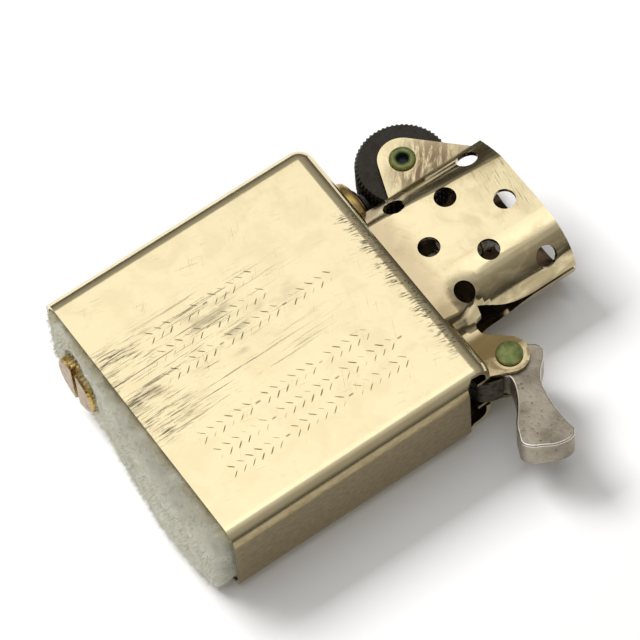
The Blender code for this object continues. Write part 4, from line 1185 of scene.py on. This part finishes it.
def make_lights():
    """A softbox that the broad faces mirror, and two lamps that keep the floor and the felt pale."""
    given = stage_settings()
    add_softbox("key", (-0.15, -0.05, 0.60), width=0.54, height=0.60, energy=given.key_power)
    floor_lamp = add_softbox(
        "floor_lamp", (-0.42, -0.16, 0.48), width=0.30, height=0.30, energy=given.floor_power
    )
    felt_lamp = add_softbox(
        "felt_lamp", (0.05, -0.55, 0.25), width=0.40, height=0.30, energy=given.felt_power,
        target=(0.0, CASE_LOW.y, CENTRE_Z),
    )
    for lamp, name in ((floor_lamp, "floor_lit"), (felt_lamp, "felt_lit")):
        lamp.light_linking.receiver_collection = bpy.data.collections.new(name)
    bpy.data.collections["floor_lit"].objects.link(bpy.data.objects["floor"])


def make_stage():
    bpy.context.scene.view_settings.view_transform = "Standard"
    make_camera()
    make_world()
    make_floor()
    make_lights()


# ---------------------------------------------------------------- operators and panel

class BuildStep:
    """What the operators share: each calls its own build function."""

    def execute(self, context):
        self.build()
        return {"FINISHED"}


class LIGHTER_OT_stage(BuildStep, bpy.types.Operator):
    """Set up the camera, the room light, the floor and the lamps"""

    bl_idname = "lighter.stage"
    bl_label = "Stage"
    build = staticmethod(make_stage)


class LIGHTER_OT_finishes(BuildStep, bpy.types.Operator):
    """Build the shader groups that the materials share"""

    bl_idname = "lighter.finishes"
    bl_label = "Shared Finishes"
    build = staticmethod(build_groups)


class LIGHTER_OT_case(BuildStep, bpy.types.Operator):
    """Dress the can in brass and cut its engraved ornament"""

    bl_idname = "lighter.case"
    bl_label = "Case"
    build = staticmethod(make_case)


class LIGHTER_OT_chimney(BuildStep, bpy.types.Operator):
    """Dress the pierced chimney in brass, sooty inside"""

    bl_idname = "lighter.chimney"
    bl_label = "Chimney"
    build = staticmethod(make_chimney)


class LIGHTER_OT_wheel(BuildStep, bpy.types.Operator):
    """Cut the flint wheel's crossed teeth"""

    bl_idname = "lighter.wheel"
    bl_label = "Flint Wheel"
    build = staticmethod(make_wheel)


class LIGHTER_OT_rivets(BuildStep, bpy.types.Operator):
    """Turn the wheel's tubular rivet and the cam's domed rivet"""

    bl_idname = "lighter.rivets"
    bl_label = "Rivets"
    build = staticmethod(make_rivets)


class LIGHTER_OT_cam(BuildStep, bpy.types.Operator):
    """Finish the cam, its leaf spring and the spring's rivet"""

    bl_idname = "lighter.cam"
    bl_label = "Cam and Spring"
    build = staticmethod(make_cam)


class LIGHTER_OT_flint_feed(BuildStep, bpy.types.Operator):
    """Finish the flint tube, its collar, flint, tip, coil and screw"""

    bl_idname = "lighter.flint_feed"
    bl_label = "Flint Feed"
    build = staticmethod(make_flint_feed)


class LIGHTER_OT_felt(BuildStep, bpy.types.Operator):
    """Grow the felt pad with its flap and its loose fibres"""

    bl_idname = "lighter.felt"
    bl_label = "Felt"
    build = staticmethod(make_felt)


class LIGHTER_OT_packing(BuildStep, bpy.types.Operator):
    """Grow the five pads of cotton packing"""

    bl_idname = "lighter.packing"
    bl_label = "Packing"
    build = staticmethod(make_packing)


class LIGHTER_OT_wick(BuildStep, bpy.types.Operator):
    """Lay the wick's strands and wind its wire"""

    bl_idname = "lighter.wick"
    bl_label = "Wick"
    build = staticmethod(make_wick)


class LIGHTER_PT_panel(bpy.types.Panel):
    """Lists the lighter unit's settings and the steps that build it"""

    bl_idname = "LIGHTER_PT_panel"
    bl_label = "Lighter Unit"
    bl_space_type = "VIEW_3D"
    bl_region_type = "UI"
    bl_category = "Lighter"

    def draw(self, context):
        layout = self.layout
        for step in STEPS:
            layout.operator(step.bl_idname)
        for settings in (sizes(), colours(), stage_settings()):
            column = layout.column()
            for key in settings.__annotations__:
                column.prop(settings, key)


STEPS = (
    LIGHTER_OT_stage, LIGHTER_OT_finishes, LIGHTER_OT_case, LIGHTER_OT_chimney, LIGHTER_OT_wheel,
    LIGHTER_OT_rivets, LIGHTER_OT_cam, LIGHTER_OT_flint_feed, LIGHTER_OT_felt, LIGHTER_OT_packing,
    LIGHTER_OT_wick,
)
CLASSES = (LighterSizes, LighterColours, LighterStage, *STEPS, LIGHTER_PT_panel)


def register():
    for kind in CLASSES:
        bpy.utils.register_class(kind)
    bpy.types.Scene.lighter_sizes = PointerProperty(type=LighterSizes)
    bpy.types.Scene.lighter_colours = PointerProperty(type=LighterColours)
    bpy.types.Scene.lighter_stage = PointerProperty(type=LighterStage)


def unregister():
    del bpy.types.Scene.lighter_stage
    del bpy.types.Scene.lighter_colours
    del bpy.types.Scene.lighter_sizes
    for kind in reversed(CLASSES):
        bpy.utils.unregister_class(kind)


def main():
    register()
    bpy.ops.lighter.stage()
    bpy.ops.lighter.finishes()
    bpy.ops.lighter.case()
    bpy.ops.lighter.chimney()
    bpy.ops.lighter.wheel()
    bpy.ops.lighter.rivets()
    bpy.ops.lighter.cam()
    bpy.ops.lighter.flint_feed()
    bpy.ops.lighter.felt()
    bpy.ops.lighter.packing()
    bpy.ops.lighter.wick()


if __name__ == "__main__":
    main()
